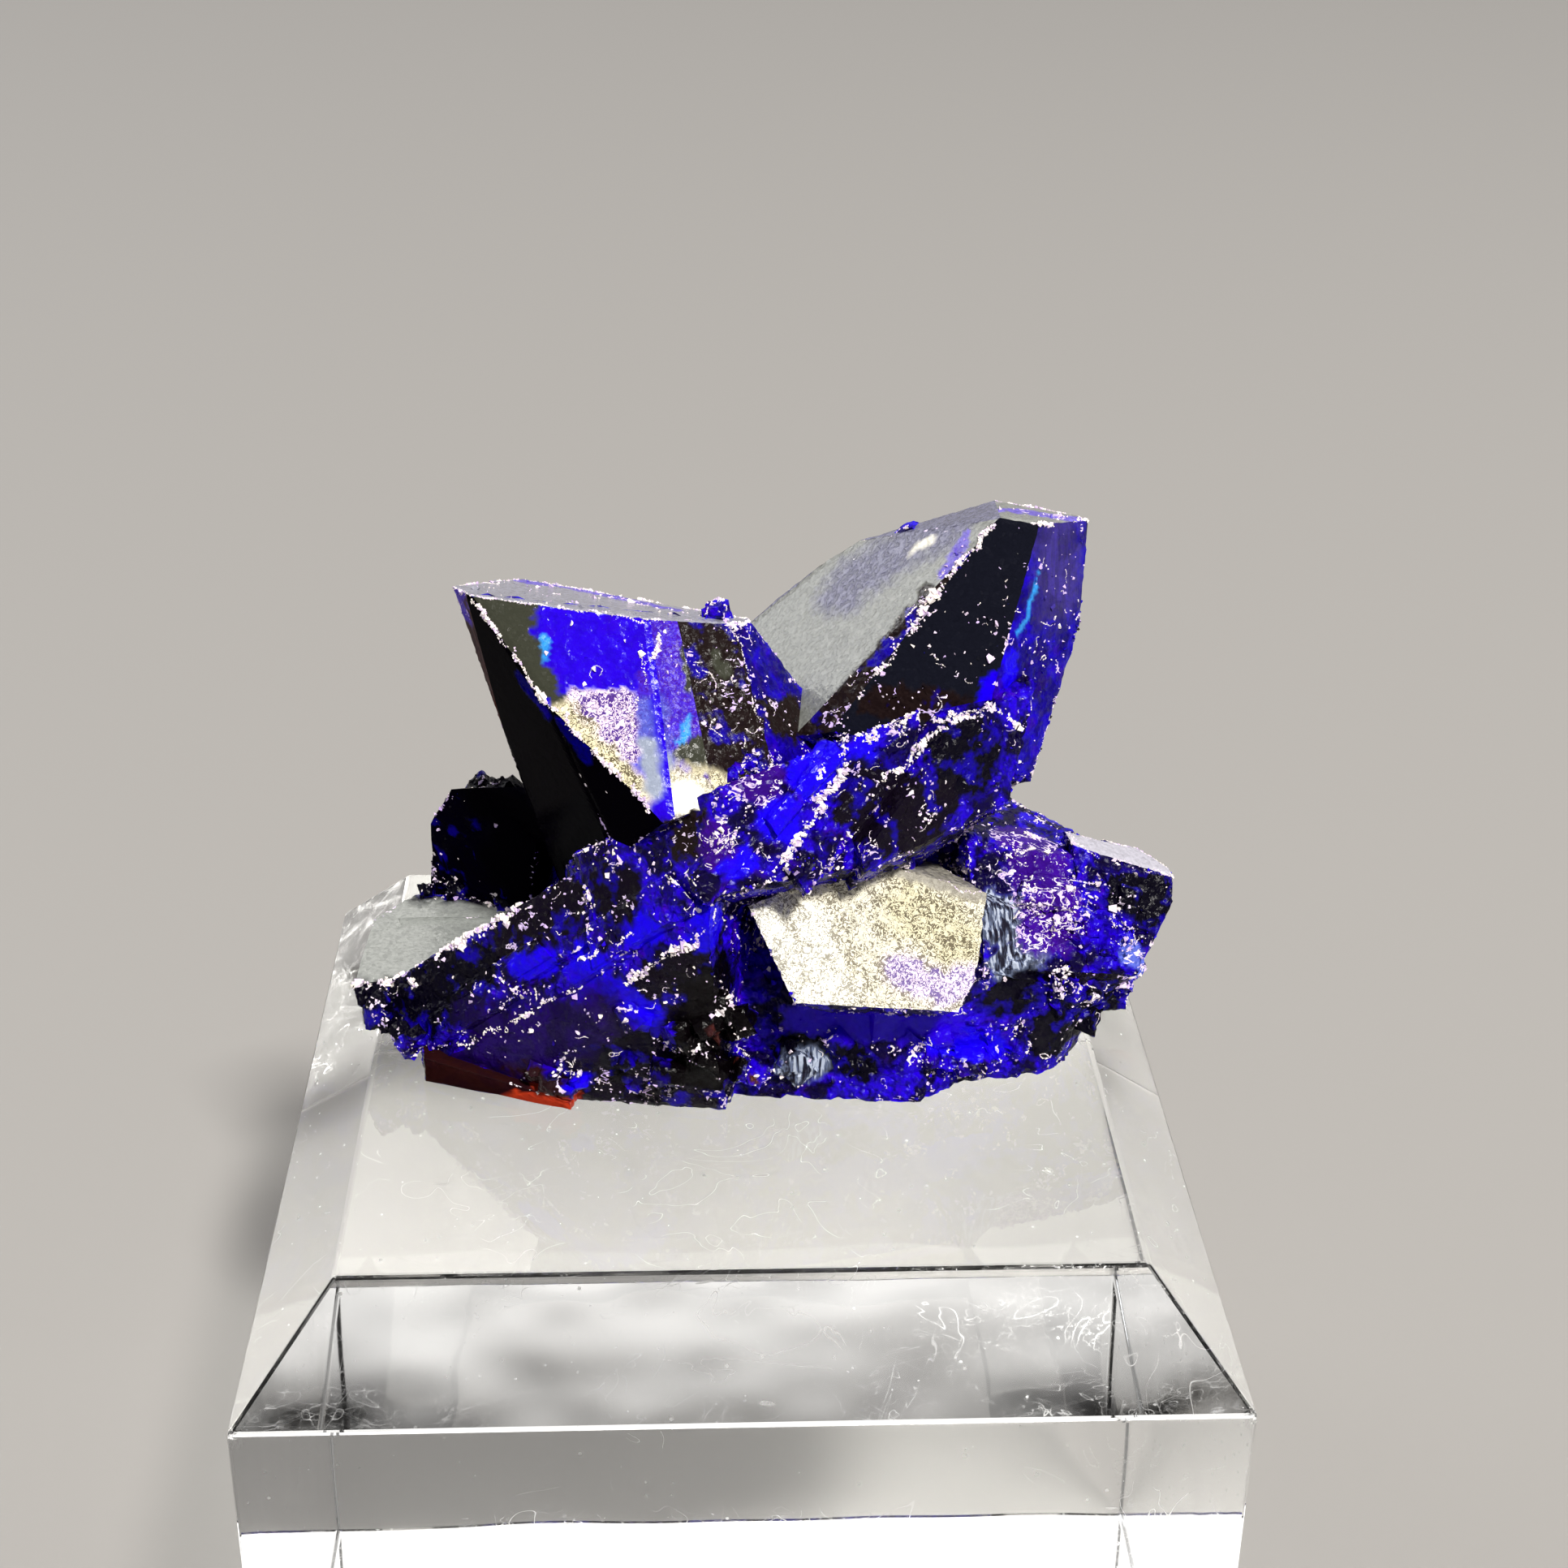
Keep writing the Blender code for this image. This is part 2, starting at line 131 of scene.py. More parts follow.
# A finish: colour, mottling, specks, roughness, etching, grooves, relief in mm. Specks are painted
# glint strokes, and also set where the growth stands.
finishes = {
    "rough": ((0.014, 0.000, 0.56), 0.95, 0.42, 0.26, 0.0, 0.0, 0.20),
    "speckled": ((0.008, 0.000, 0.42), 0.60, 0.40, 0.26, 0.0, 0.0, 0.07),
    "blue": ((0.017, 0.000, 0.60), 0.00, 0.16, 0.19, 0.0, 0.0, 0.03),
    "pure": ((0.008, 0.000, 0.74), 0.00, 0.10, 0.20, 0.0, 0.0, 0.06),
    "hatched": ((0.055, 0.018, 0.56), 0.00, 0.16, 0.25, 0.8, 0.0, 0.02),
    "navy": ((0.001, 0.000, 0.16), 0.20, 0.10, 0.26, 0.0, 0.0, 0.03),
    # grey, dusk, lilac, slate and lens: grey, partly painted as the reflection of the pale wall and
    # sky on mirror faces; the first four also get the glossy mirror copy.
    "grey": ((0.215, 0.225, 0.210), 0.0, 0.04, 0.20, 0.0, 0.18, 0.004),
    "dusk": ((0.150, 0.150, 0.240), 0.0, 0.07, 0.22, 0.0, 0.40, 0.02),
    "lilac": ((0.270, 0.270, 0.330), 0.0, 0.22, 0.20, 0.2, 0.15, 0.01),
    "slate": ((0.270, 0.285, 0.270), 0.0, 0.05, 0.22, 0.1, 0.12, 0.01),
    # black: near-black, the deep body of smooth facets, and partly painted shade on the faces
    # turned away from the key.
    "black": ((0.0010, 0.0006, 0.002), 0.0, 0.03, 0.12, 0.0, 0.0, 0.004),
    "smoky": ((0.0060, 0.0065, 0.0120), 0.0, 0.32, 0.24, 0.0, 0.0, 0.02),
    "ink": ((0.0010, 0.0004, 0.005), 0.0, 0.22, 0.26, 0.0, 0.0, 0.14),
    "dark": ((0.0040, 0.0020, 0.007), 0.3, 0.45, 0.26, 0.0, 0.0, 0.08),
    "umber": ((0.0110, 0.0060, 0.006), 0.0, 0.50, 0.26, 0.0, 0.0, 0.10),
    "olive": ((0.0360, 0.0380, 0.027), 0.0, 0.05, 0.21, 0.0, 0.0, 0.004),
    "violet": ((0.0100, 0.0006, 0.090), 0.60, 0.22, 0.24, 0.0, 0.0, 0.05),
    # brown, orange, mauve and red: painted reflection of reddish-brown wood in smooth faces.
    "brown": ((0.0180, 0.0040, 0.004), 0.2, 0.06, 0.20, 0.0, 0.0, 0.01),
    "orange": ((0.55, 0.045, 0.012), 0.3, 0.06, 0.20, 0.0, 0.0, 0.01),
    "mauve": ((0.085, 0.050, 0.050), 0.0, 0.04, 0.24, 0.0, 0.5, 0.01),
    "red": ((0.075, 0.016, 0.010), 0.2, 0.05, 0.22, 0.0, 0.4, 0.01),
    # pale, snow, straw, lavender and bevel: painted highlight, the key light's reflection on the
    # etched pale face, over its real worm etching.
    "pale": ((0.84, 0.80, 0.65), 0.0, 0.0, 0.35, 1.00, 0.0, 0.010),
    "snow": ((0.97, 0.95, 0.83), 0.0, 0.0, 0.35, 0.85, 0.0, 0.008),
    "straw": ((0.74, 0.69, 0.48), 0.0, 0.0, 0.35, 1.15, 0.0, 0.012),
    "lavender": ((0.76, 0.66, 0.80), 0.0, 0.0, 0.35, 1.00, 0.0, 0.012),
    "bevel": ((0.36, 0.34, 0.29), 0.0, 0.0, 0.35, 0.5, 0.0, 0.012),
    # cream, white, haze and periwinkle: painted highlight, where the key's reflection glows and
    # falls off on the left blade; tangle and cyan: painted glints.
    "cream": ((0.86, 0.78, 0.52), 0.0, 0.0, 0.30, 1.2, 0.0, 0.03),
    "tangle": ((0.78, 0.64, 0.80), 0.0, 0.0, 0.30, 1.4, 0.0, 0.06),
    "white": ((1.00, 0.97, 0.84), 0.0, 0.0, 0.30, 0.1, 0.0, 0.004),
    "haze": ((0.28, 0.32, 0.42), 0.0, 0.02, 0.25, 0.1, 0.0, 0.004),
    "periwinkle": ((0.090, 0.11, 0.56), 0.0, 0.06, 0.25, 0.6, 0.0, 0.008),
    "cyan": ((0.03, 0.30, 0.80), 0.0, 0.30, 0.26, 0.3, 0.0, 0.02),
    "frost": ((0.12, 0.08, 0.55), 0.0, 0.45, 0.26, 0.3, 0.0, 0.04),
    # glitter: dense painted glint strokes on dark violet.
    "glitter": ((0.040, 0.002, 0.26), 0.3, 1.30, 0.24, 0.0, 0.0, 0.12),
    "froth": ((0.10, 0.14, 0.60), 0.0, 0.90, 0.28, 0.0, 0.0, 0.22),
    "fan": ((0.16, 0.20, 0.32), 0.0, 0.10, 0.22, 0.0, 1.0, 0.08),
    "hazy": ((0.044, 0.030, 0.245), 0.35, 0.30, 0.25, 0.2, 0.3, 0.03),
    "lens": ((0.46, 0.45, 0.52), 0.0, 0.02, 0.25, 0.1, 0.1, 0.01),
    # recess_shade: near-black painted shade, put in the recess.
    "recess_shade": ((0.0012, 0.0005, 0.001), 0.0, 0.16, 0.24, 0.0, 0.0, 0.10),
}

# Zones of finish: finish, radius, facet or "" for all, points in mm.
zones = [
    # The left blade's front: olive glass, solid blue, a tangle of painted glints, painted cyan
    # glints, and a painted cream highlight at the foot.
    ("olive", 1.25, "left_front", [(-12.7, -1.0, 53.0), (-11.3, -1.1, 53.0)]),
    ("olive", 1.05, "left_front", [(-12.2, -1.8, 51.9), (-10.9, -2.4, 51.0)]),
    ("olive", 0.60, "left_front", [(-10.9, -2.6, 50.8), (-9.6, -3.5, 49.6)]),
    ("olive", 0.45, "left_front", [(-9.6, -3.5, 49.6), (-8.8, -4.2, 48.6)]),
    ("cyan", 0.20, "left_front", [(-9.9, -2.0, 51.8), (-9.8, -2.6, 50.9)]),
    ("tangle", 0.75, "left_front", [(-8.2, -3.9, 49.1), (-5.7, -4.2, 49.0)]),
    ("tangle", 0.80, "left_front", [(-7.3, -4.5, 48.4), (-5.7, -4.9, 48.0)]),
    ("tangle", 0.65, "left_front", [(-6.6, -5.1, 47.7), (-5.5, -5.6, 47.0)]),
    ("cream", 0.70, "left_front", [(-8.9, -4.3, 48.5), (-7.7, -5.2, 47.4),
                                   (-6.2, -6.1, 46.2), (-5.1, -6.9, 45.2)]),
    # Its middle face: hatched blue that fades to a painted grey-blue highlight (periwinkle, haze),
    # an olive patch, painted cyan glints, and a painted white and cream highlight.
    ("hatched", 0.40, "left_front", [(-4.9, -3.6, 50.1), (-5.0, -4.4, 48.9)]),
    ("periwinkle", 0.45, "left_front", [(-4.9, -4.4, 48.9), (-4.7, -5.4, 47.4)]),
    ("haze", 0.50, "left_front", [(-4.7, -5.6, 47.2), (-4.5, -6.3, 46.2), (-4.4, -6.8, 45.4)]),
    ("periwinkle", 0.85, "left_middle", [(-4.5, -4.6, 49.0), (-4.2, -5.5, 47.7)]),
    ("haze", 0.70, "left_middle", [(-5.0, -6.3, 46.9), (-4.8, -7.0, 45.9)]),
    ("haze", 0.60, "left_middle", [(-4.2, -6.1, 46.9), (-3.6, -6.6, 46.0)]),
    ("olive", 0.80, "left_middle", [(-2.4, -5.4, 46.9), (-1.8, -5.7, 46.4)]),
    ("cyan", 0.22, "left_middle", [(-2.4, -4.5, 48.3), (-2.8, -5.0, 47.7), (-3.3, -5.4, 47.2)]),
    ("olive", 0.50, "left_middle", [(-2.4, -2.3, 51.2), (-2.4, -3.3, 49.8)]),
    ("cream", 1.05, "left_middle", [(-4.0, -7.3, 44.9), (-2.2, -6.7, 45.2)]),
    ("white", 0.80, "left_middle", [(-4.1, -7.4, 44.8), (-2.3, -6.9, 45.0)]),
    ("cream", 0.60, "left_strip", [(-1.6, -6.4, 45.2), (-0.9, -6.2, 45.4)]),
    ("olive", 0.35, "left_strip", [(-1.0, -1.9, 50.9), (-0.8, -2.6, 49.9)]),
    ("umber", 1.20, "left_right", [(1.0, -3.3, 47.8), (2.7, -1.6, 46.8), (3.6, -0.2, 46.2)]),
    # Its dark side, partly painted shade: painted blue gleams under the ridge, a painted reddish
    # reflection on its edge, frost on top.
    ("navy", 0.50, "left_left", [(-11.1, -2.3, 49.4), (-10.0, -3.4, 48.4)]),
    ("navy", 0.50, "left_low", [(-9.1, -4.2, 47.9), (-7.9, -5.0, 46.6)]),
    ("frost", 1.30, "left_narrow", [(-14.7, 1.3, 53.8), (-14.6, 1.6, 52.4)]),
    ("red", 1.60, "left_narrow", [(-13.0, 2.4, 45.4), (-11.8, 2.1, 42.3)]),
    ("frost", 0.45, "left_top", [(-12.5, 6.0, 51.8), (-8.9, 4.9, 51.7),
                                 (-6.3, 3.4, 51.8), (-3.3, 1.5, 51.9)]),
    # The right blade: dusky upper edges, partly painted reflection, a small painted white
    # highlight, a brown strip, specks and painted cyan glints at the foot.
    ("dusk", 1.70, "right_grey", [(6.0, 5.2, 51.5), (7.7, 5.0, 52.9),
                                  (9.4, 4.8, 54.3), (11.2, 3.8, 55.8)]),
    ("frost", 0.45, "right_grey", [(12.2, 2.2, 55.5), (10.9, 1.2, 54.1)]),
    ("white", 0.28, "right_grey", [(9.5, 3.9, 54.0), (10.6, 3.8, 54.9)]),
    ("umber", 0.35, "right_grey", [(9.9, 0.9, 53.1), (7.4, -0.3, 50.1), (5.0, -1.3, 47.7)]),
    ("umber", 0.90, "right_front", [(7.5, -1.9, 48.0), (10.3, -2.0, 47.8), (12.5, -2.4, 47.0)]),
    ("pure", 0.75, "right_front", [(13.6, -1.7, 48.6), (13.3, -2.0, 47.7)]),
    ("hazy", 1.90, "right_blue", [(16.6, 3.0, 55.8), (17.3, 2.2, 52.2)]),
    ("pure", 0.80, "right_blue", [(14.9, -1.0, 49.8), (14.6, -1.6, 47.8)]),
    ("cyan", 0.14, "right_blue", [(16.2, 1.6, 54.1), (15.3, 0.4, 52.0), (14.7, -0.3, 50.9)]),
    ("frost", 0.60, "right_top", [(13.5, 3.6, 56.3), (18.3, 4.1, 55.8)]),
    # The crossing crystals: patches of pure blue, of dark, speckled crystal, and of glitter in
    # dense painted glints.
    ("pure", 1.6, "", [(4.1, -6.5, 46.5)]),
    ("pure", 1.2, "", [(6.1, -5.3, 46.5)]),
    ("pure", 1.3, "", [(2.2, -7.9, 44.2)]),
    ("pure", 1.1, "", [(-0.1, -8.8, 42.3)]),
    ("pure", 1.4, "", [(-1.3, -8.9, 38.6)]),
    ("pure", 1.4, "", [(-8.1, -6.9, 35.0)]),
    ("pure", 1.1, "", [(-6.4, -7.9, 33.6), (-4.9, -8.0, 32.8)]),
    ("pure", 0.9, "", [(-11.6, -4.6, 33.6), (-10.4, -5.4, 34.4)]),
    ("pure", 1.2, "", [(-5.1, -8.2, 37.8)]),
    ("ink", 2.3, "", [(12.0, -4.0, 45.8)]),
    ("dark", 2.4, "", [(9.3, -5.9, 43.1), (7.1, -6.2, 44.2)]),
    ("umber", 1.4, "", [(-2.5, -7.4, 43.0)]),
    ("dark", 1.8, "", [(-6.4, -6.2, 39.0)]),
    ("ink", 2.3, "", [(-14.5, -2.5, 31.6), (-19.5, -1.6, 29.4)]),
    ("dark", 1.5, "", [(-12.0, -2.6, 34.6), (-9.0, -4.4, 37.4)]),
    ("dark", 1.5, "", [(-3.8, -8.6, 35.5)]),
    ("glitter", 1.1, "", [(-1.3, -8.4, 43.1)]),
    ("glitter", 1.3, "", [(0.8, -7.0, 46.1)]),
    # The broad pale face, in painted highlight (white, straw, lavender, and a duller band at its
    # top edge), and round it.
    ("snow", 1.4, "pale_face", [(1.3, -6.2, 38.0), (1.9, -7.4, 36.4),
                                (3.2, -8.7, 34.7), (5.1, -9.0, 33.9)]),
    ("snow", 0.9, "pale_face", [(3.9, -6.2, 37.4), (4.7, -7.8, 35.4)]),
    ("straw", 1.5, "pale_face", [(9.0, -5.4, 37.3), (10.6, -5.4, 36.9), (11.6, -6.4, 35.7)]),
    ("lavender", 1.0, "pale_face", [(8.6, -7.5, 34.9), (10.8, -8.0, 33.9), (12.4, -7.4, 34.0)]),
    ("bevel", 0.6, "pale_face", [(5.6, -4.0, 39.6), (7.0, -3.7, 39.8),
                                 (10.0, -3.9, 38.9), (12.9, -4.4, 37.8)]),
    ("fan", 1.8, "", [(14.4, -3.7, 35.9), (15.6, -3.3, 34.4), (14.9, -4.2, 33.3)]),
    ("ink", 1.3, "", [(14.3, -4.8, 31.4), (16.2, -3.8, 31.5)]),
    ("glitter", 1.8, "", [(16.0, 0.5, 38.1), (17.0, -1.6, 36.2), (17.0, -2.6, 34.8)]),
    ("ink", 1.3, "", [(21.4, -1.4, 36.0), (23.3, -0.7, 35.2), (22.6, -1.1, 34.8)]),
    ("froth", 0.7, "", [(21.8, -2.7, 33.1), (22.4, -2.5, 31.5)]),
    ("ink", 1.8, "", [(17.6, -4.2, 28.4), (19.9, -3.5, 29.4)]),
    ("pure", 1.0, "", [(10.7, -5.8, 29.5), (14.0, -4.5, 28.0)]),
    ("blue", 1.2, "", [(3.5, -5.2, 30.3), (8.0, -5.8, 30.5), (11.6, -5.1, 30.1)]),
    ("ink", 1.0, "", [(2.3, -6.0, 29.2), (6.7, -5.8, 27.9)]),
    # The recess in painted shade, the lower left end with painted reflections in brown, orange and
    # red, and the stub behind it.
    ("recess_shade", 2.3, "", [(-1.0, -8.4, 34.2), (-1.3, -8.5, 31.1), (-2.0, -8.2, 29.5)]),
    ("red", 0.22, "", [(-1.4, -8.8, 32.1), (-0.4, -7.9, 30.2),
                       (-0.2, -7.4, 29.3), (1.1, -6.8, 27.1)]),
    ("fan", 1.0, "", [(2.9, -6.5, 27.7), (4.1, -5.8, 28.0)]),
    ("violet", 2.0, "", [(-13.7, -4.9, 29.4), (-10.0, -6.4, 30.6), (-7.6, -7.4, 32.0)]),
    ("brown", 1.1, "", [(-17.6, -4.4, 26.6), (-13.0, -5.8, 27.0), (-10.0, -6.6, 26.8)]),
    ("orange", 0.9, "", [(-11.5, -5.6, 25.8), (-9.5, -6.4, 25.8)]),
    ("pure", 0.9, "", [(-8.5, -6.9, 27.4)]),
    ("ink", 1.2, "", [(-5.2, -8.2, 30.2), (-6.5, -7.3, 29.0)]),
    ("ink", 3.2, "", [(-17.0, 9.5, 35.8), (-13.5, 10.5, 37.0)]),
    ("ink", 1.2, "", [(-18.5, 9.8, 30.9), (-13.0, 8.6, 30.9)]),
    ("slate", 1.0, "", [(-21.0, 6.7, 30.0), (-13.8, 6.6, 30.0)]),
]

# Ridges whose broken crests carry beads painted white as glints: half width in mm, then their
# points.
crests = [
    (0.13, [(-13.6, -0.6, 53.4), (-9.8, -3.8, 49.1), (-7.4, -5.5, 47.0), (-4.6, -7.3, 44.6)]),
    (0.09, [(-3.8, -2.3, 52.2), (-4.5, -3.1, 50.9), (-5.2, -4.0, 49.4), (-5.4, -5.5, 47.3)]),
    (0.16, [(13.4, -2.8, 47.8), (9.7, -3.3, 46.4), (6.3, -5.9, 44.0)]),
    (0.24, [(7.0, -4.6, 47.5), (4.4, -6.4, 45.0), (2.8, -7.8, 42.3), (1.4, -8.8, 41.0)]),
    (0.18, [(1.4, -8.8, 41.0), (-2.9, -9.2, 37.5), (-6.5, -7.9, 34.2)]),
    (0.12, [(-8.4, -6.6, 33.6), (-12.4, -4.9, 30.3), (-15.3, -3.7, 28.0)]),
    (0.22, [(-18.5, -0.3, 30.0), (-15.0, 0.9, 30.0), (-12.0, 2.6, 30.0)]),
    (0.15, [(13.5, 1.7, 56.5), (11.2, 0.7, 54.2), (10.1, 0.1, 52.8),
            (8.4, -0.7, 50.9), (6.5, -1.9, 48.2)]),
    (0.26, [(10.6, 0.3, 53.4), (9.7, -0.2, 52.1)]),
    (0.15, [(4.1, -6.6, 46.0), (4.9, -6.1, 46.9), (7.2, -4.5, 47.8), (11.1, -2.7, 47.7)]),
    (0.15, [(11.1, -2.7, 47.7), (13.4, -2.6, 48.0), (15.0, -2.0, 46.5)]),
    (0.10, [(-8.1, -6.7, 35.4), (-5.5, -8.0, 37.6)]),
    (0.20, [(16.0, 1.5, 38.4), (18.7, 1.2, 38.2)]),
    (0.24, [(-16.4, -0.8, 32.2), (-14.5, -1.5, 33.9), (-11.7, -2.7, 36.3)]),
]

# Crests that follow the edge between two facets: half width, then the facets.
rims = [
    (0.07, "left_top", "left_front"), (0.07, "left_top", "left_middle"),
    (0.10, "left_top", "left_back"), (0.08, "left_top", "left_narrow"),
    (0.08, "left_top", "left_back_left"),
    (0.08, "left_top", "left_back_right"), (0.07, "left_top", "left_right"),
    (0.10, "right_top", "right_front"), (0.10, "right_top", "right_blue"),
    (0.10, "right_top", "right_side"), (0.10, "right_top", "right_back"),
    (0.05, "pale_face", "pale_bevel_left"), (0.05, "pale_face", "pale_bevel_right"),
    (0.26, "ledge_top", "ledge_front"), (0.10, "stub_front", "ledge_top"),
    (0.07, "end_top", ""), (0.06, "left_strip", "left_right"),
]

# Sizes in mm, and angles in degrees.
SHARP_ANGLE, SAME_ANGLE, SAME_PLANE = 14, 1.0, 0.05
EDGE_POINT_SPACING, RIDGE_REACH = 0.12, 0.35
UNDER_LENGTH, PLAIN_LENGTH, PAINTED_LENGTH, AWAY_LENGTH, FRONT_LENGTH = 3.0, 1.4, 0.30, 0.50, 0.345
UNDERSIDE_LEVEL, LOWEST, MARGIN, RIGHT_LIMIT = 25.9, 25.60, 0.02, 25.35
LARGE_CELL, SMALL_CELL, CELL_TILT = 0.85, 0.42, 1.2

# Without a seed, the noise vectors would start from the clock.
noise.seed_set(5)

bm = bmesh.new()
bm.from_mesh(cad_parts["azurite_cluster"].data)
bmesh.ops.translate(bm, verts=bm.verts, vec=(0, 0, -LEVEL * MM))
bmesh.ops.remove_doubles(bm, verts=bm.verts, dist=0.0005 * MM)
bmesh.ops.dissolve_limit(bm, angle_limit=math.radians(0.3), verts=bm.verts, edges=bm.edges)
bmesh.ops.triangulate(bm, faces=bm.faces)

facet_names = list(facets)
facet_of = bm.faces.layers.int.new("facet")
looks = np.array([facing(az, el) for _, az, el, _, _ in facets.values()])
offsets = np.array([look @ np.array(centre) + distance
                    for look, (centre, _, _, distance, _) in zip(looks, facets.values())])
for face in bm.faces:
    normal = np.array(face.normal)
    away = np.abs(np.array(face.verts[0].co) / MM @ normal - offsets)
    near = (looks @ normal > math.cos(math.radians(SAME_ANGLE))) & (away < SAME_PLANE)
    face[facet_of] = int(np.argmax(near)) + 1 if near.any() else 0

for edge in bm.edges:
    pair = [facet_names[face[facet_of] - 1] if face[facet_of] else "" for face in edge.link_faces]
    for width, first, second in rims:
        if sorted(pair) == sorted((first, second)):
            crests.append((width, [vert.co / MM for vert in edge.verts]))

# Where facets meet outwards: points along the edges, to measure from.
edge_points = []
for edge in bm.edges:
    sharp = len(edge.link_faces) == 2 and edge.calc_face_angle() > math.radians(SHARP_ANGLE)
    if sharp and edge.is_convex:
        a, b = edge.verts[0].co / MM, edge.verts[1].co / MM
        steps = max(1, int((b - a).length / EDGE_POINT_SPACING))
        edge_points += [a.lerp(b, (i + 0.5) / steps) for i in range(steps)]
ridges = kdtree.KDTree(len(edge_points))
for i, point in enumerate(edge_points):
    ridges.insert(point, i)
ridges.balance()

# Fine triangles, to carry the relief: finest at the front, where crystals are rough
# or where one facet has several finishes.
painted = {facet_names.index(zone[2]) + 1 for zone in zones if zone[2]}
plain = {i + 1 for i, f in enumerate(facets.values()) if finishes[f[4]][6] < 0.02} - painted


def longest_edge(face):
    middle = face.calc_center_median() / MM
    if face.normal.z < -0.97 and middle.z < UNDERSIDE_LEVEL:
        return UNDER_LENGTH
    if face[facet_of] in plain:
        return PLAIN_LENGTH
    if face[facet_of] in painted:
        return PAINTED_LENGTH
    away = face.normal.y > 0.15 or face.normal.z < -0.6
    return AWAY_LENGTH if away else FRONT_LENGTH


def edge_order(edge):
    return edge.calc_length(), edge.index


# Every triangle is only ever halved across its longest edge, which keeps it well shaped.
for _ in range(60):
    bm.edges.index_update()
    longest = {face: max(face.edges, key=edge_order) for face in bm.faces}
    halved = set()
    for face, edge in longest.items():
        if edge.calc_length() / MM <= longest_edge(face):
            continue
        while True:
            longer = [longest[side] for side in edge.link_faces if longest[side] is not edge]
            if not longer:
                break
            edge = max(longer, key=edge_order)
        halved.add(edge)
    if not halved:
        break
    halved = sorted(halved, key=edge_order)
    bmesh.ops.subdivide_edges(bm, edges=halved, cuts=1, use_single_edge=True)

mesh = bpy.data.meshes.new("azurite_crystals")
bm.to_mesh(mesh)
bm.free()

count = len(mesh.vertices)
flat = np.zeros(count * 3, np.float32)
mesh.vertices.foreach_get("co", flat)
points = flat.reshape(-1, 3).astype(float) / MM
flat = np.zeros(count * 3, np.float32)
mesh.vertices.foreach_get("normal", flat)
normals = flat.reshape(-1, 3).astype(float)
corner_vertex = np.zeros(len(mesh.loops), np.int32)
mesh.loops.foreach_get("vertex_index", corner_vertex)
face_facet = np.zeros(len(mesh.polygons), np.int32)
mesh.attributes["facet"].data.foreach_get("value", face_facet)
corner_facet = np.repeat(face_facet, 3)

vectors = [Vector(p) for p in points]
ridge_distance = np.array([ridges.find(v)[2] for v in vectors])
coarse = np.array([noise.noise(v * 0.55) for v in vectors])
medium = np.array([noise.noise(v * 1.7 + Vector((7, 3, 1))) for v in vectors])
fine = np.array([noise.noise(v * 4.0 + Vector((1, 9, 4))) for v in vectors])

# Finish of every face corner, from its facet.
table = np.array([(*colour, *rest) for colour, *rest in
                  [finishes["rough"]] + [finishes[f[4]] for f in facets.values()]])
look = table[corner_facet]


def distance_to(path, where):
    """Distance from every place to a path of straight pieces, or to a single point."""
    path = np.array(path, float)
    if len(path) == 1:
        return np.linalg.norm(where - path[0], axis=1)
    nearest = np.full(len(where), 1e9)
    for start, end in zip(path, path[1:]):
        run = end - start
        t = np.clip((where - start) @ run / (run @ run), 0, 1)
        nearest = np.minimum(nearest, np.linalg.norm(where - start - t[:, None] * run, axis=1))
    return nearest


wander = points + 0.35 * np.array([noise.noise_vector(v * 1.1) for v in vectors])
border = 0.30 * coarse + 0.35 * medium + 0.30 * fine
faded = ("haze", "periwinkle", "cream", "white", "hazy", "dusk", "snow", "straw", "lavender",
         "violet")
for finish, radius, on, path in zones:
    reach = distance_to(path, wander) / radius + border * 0.8
    fade = 0.75 if finish in faded else 0.20
    weight = np.clip((1.02 + fade / 2 - reach) / fade, 0, 1)[corner_vertex]
    if on:
        weight = weight * (corner_facet == facet_names.index(on) + 1)
    colour, *rest = finishes[finish]
    look += weight[:, None] * (np.array((*colour, *rest)) - look)

# Relief: faceted hillocks, each a cell with its own tilt and height.
relief = np.full(count, 1e9)
np.minimum.at(relief, corner_vertex, look[:, 8])
relief_mean = np.zeros(count)
np.add.at(relief_mean, corner_vertex, look[:, 8])
relief_mean /= np.maximum(np.bincount(corner_vertex, minlength=count), 1)
relief = 0.5 * relief + 0.5 * relief_mean


def hillocks(size, tilt):
    """Height in cell sizes of a random faceted crust at every vertex."""
    height = np.zeros(count)
    for i, v in enumerate(vectors):
        cell = noise.voronoi(v / size)[1][0]
        lean = noise.cell_vector(cell * 31.7)
        height[i] = (v / size - cell).dot(lean) * tilt + 0.6 * (lean.x - 0.5)
    return height


crust = 0.65 * hillocks(LARGE_CELL, CELL_TILT) + 0.35 * hillocks(SMALL_CELL, CELL_TILT)
near_ridge = np.clip(1 - ridge_distance / RIDGE_REACH, 0, 1)
height = relief * (0.9 * crust + 0.5 * medium + 0.3 * fine)
height -= near_ridge * (0.05 + 0.10 * np.abs(fine) + 0.08 * np.abs(medium))
moved = points + normals * height[:, None]
highest = cad_box[1].z / MM - LEVEL
moved[:, 2] = np.clip(moved[:, 2], LOWEST, highest - MARGIN)
moved[:, 0] = np.minimum(moved[:, 0], RIGHT_LIMIT)
in_place = (moved + (0, 0, LEVEL)) * MM
mesh.vertices.foreach_set("co", in_place.astype(np.float32).ravel())
mesh.update()

# Painted highlight along the outward edges, in patches: the bright ragged edges.
edge_highlight = near_ridge * np.clip(0.35 + 1.1 * coarse, 0, 0.8)


def paint(mesh, name, values):
    """Give every face corner its four values."""
    layer = mesh.attributes.new(name, "FLOAT_COLOR", "CORNER")
    layer.data.foreach_set("color", values.astype(np.float32).ravel())


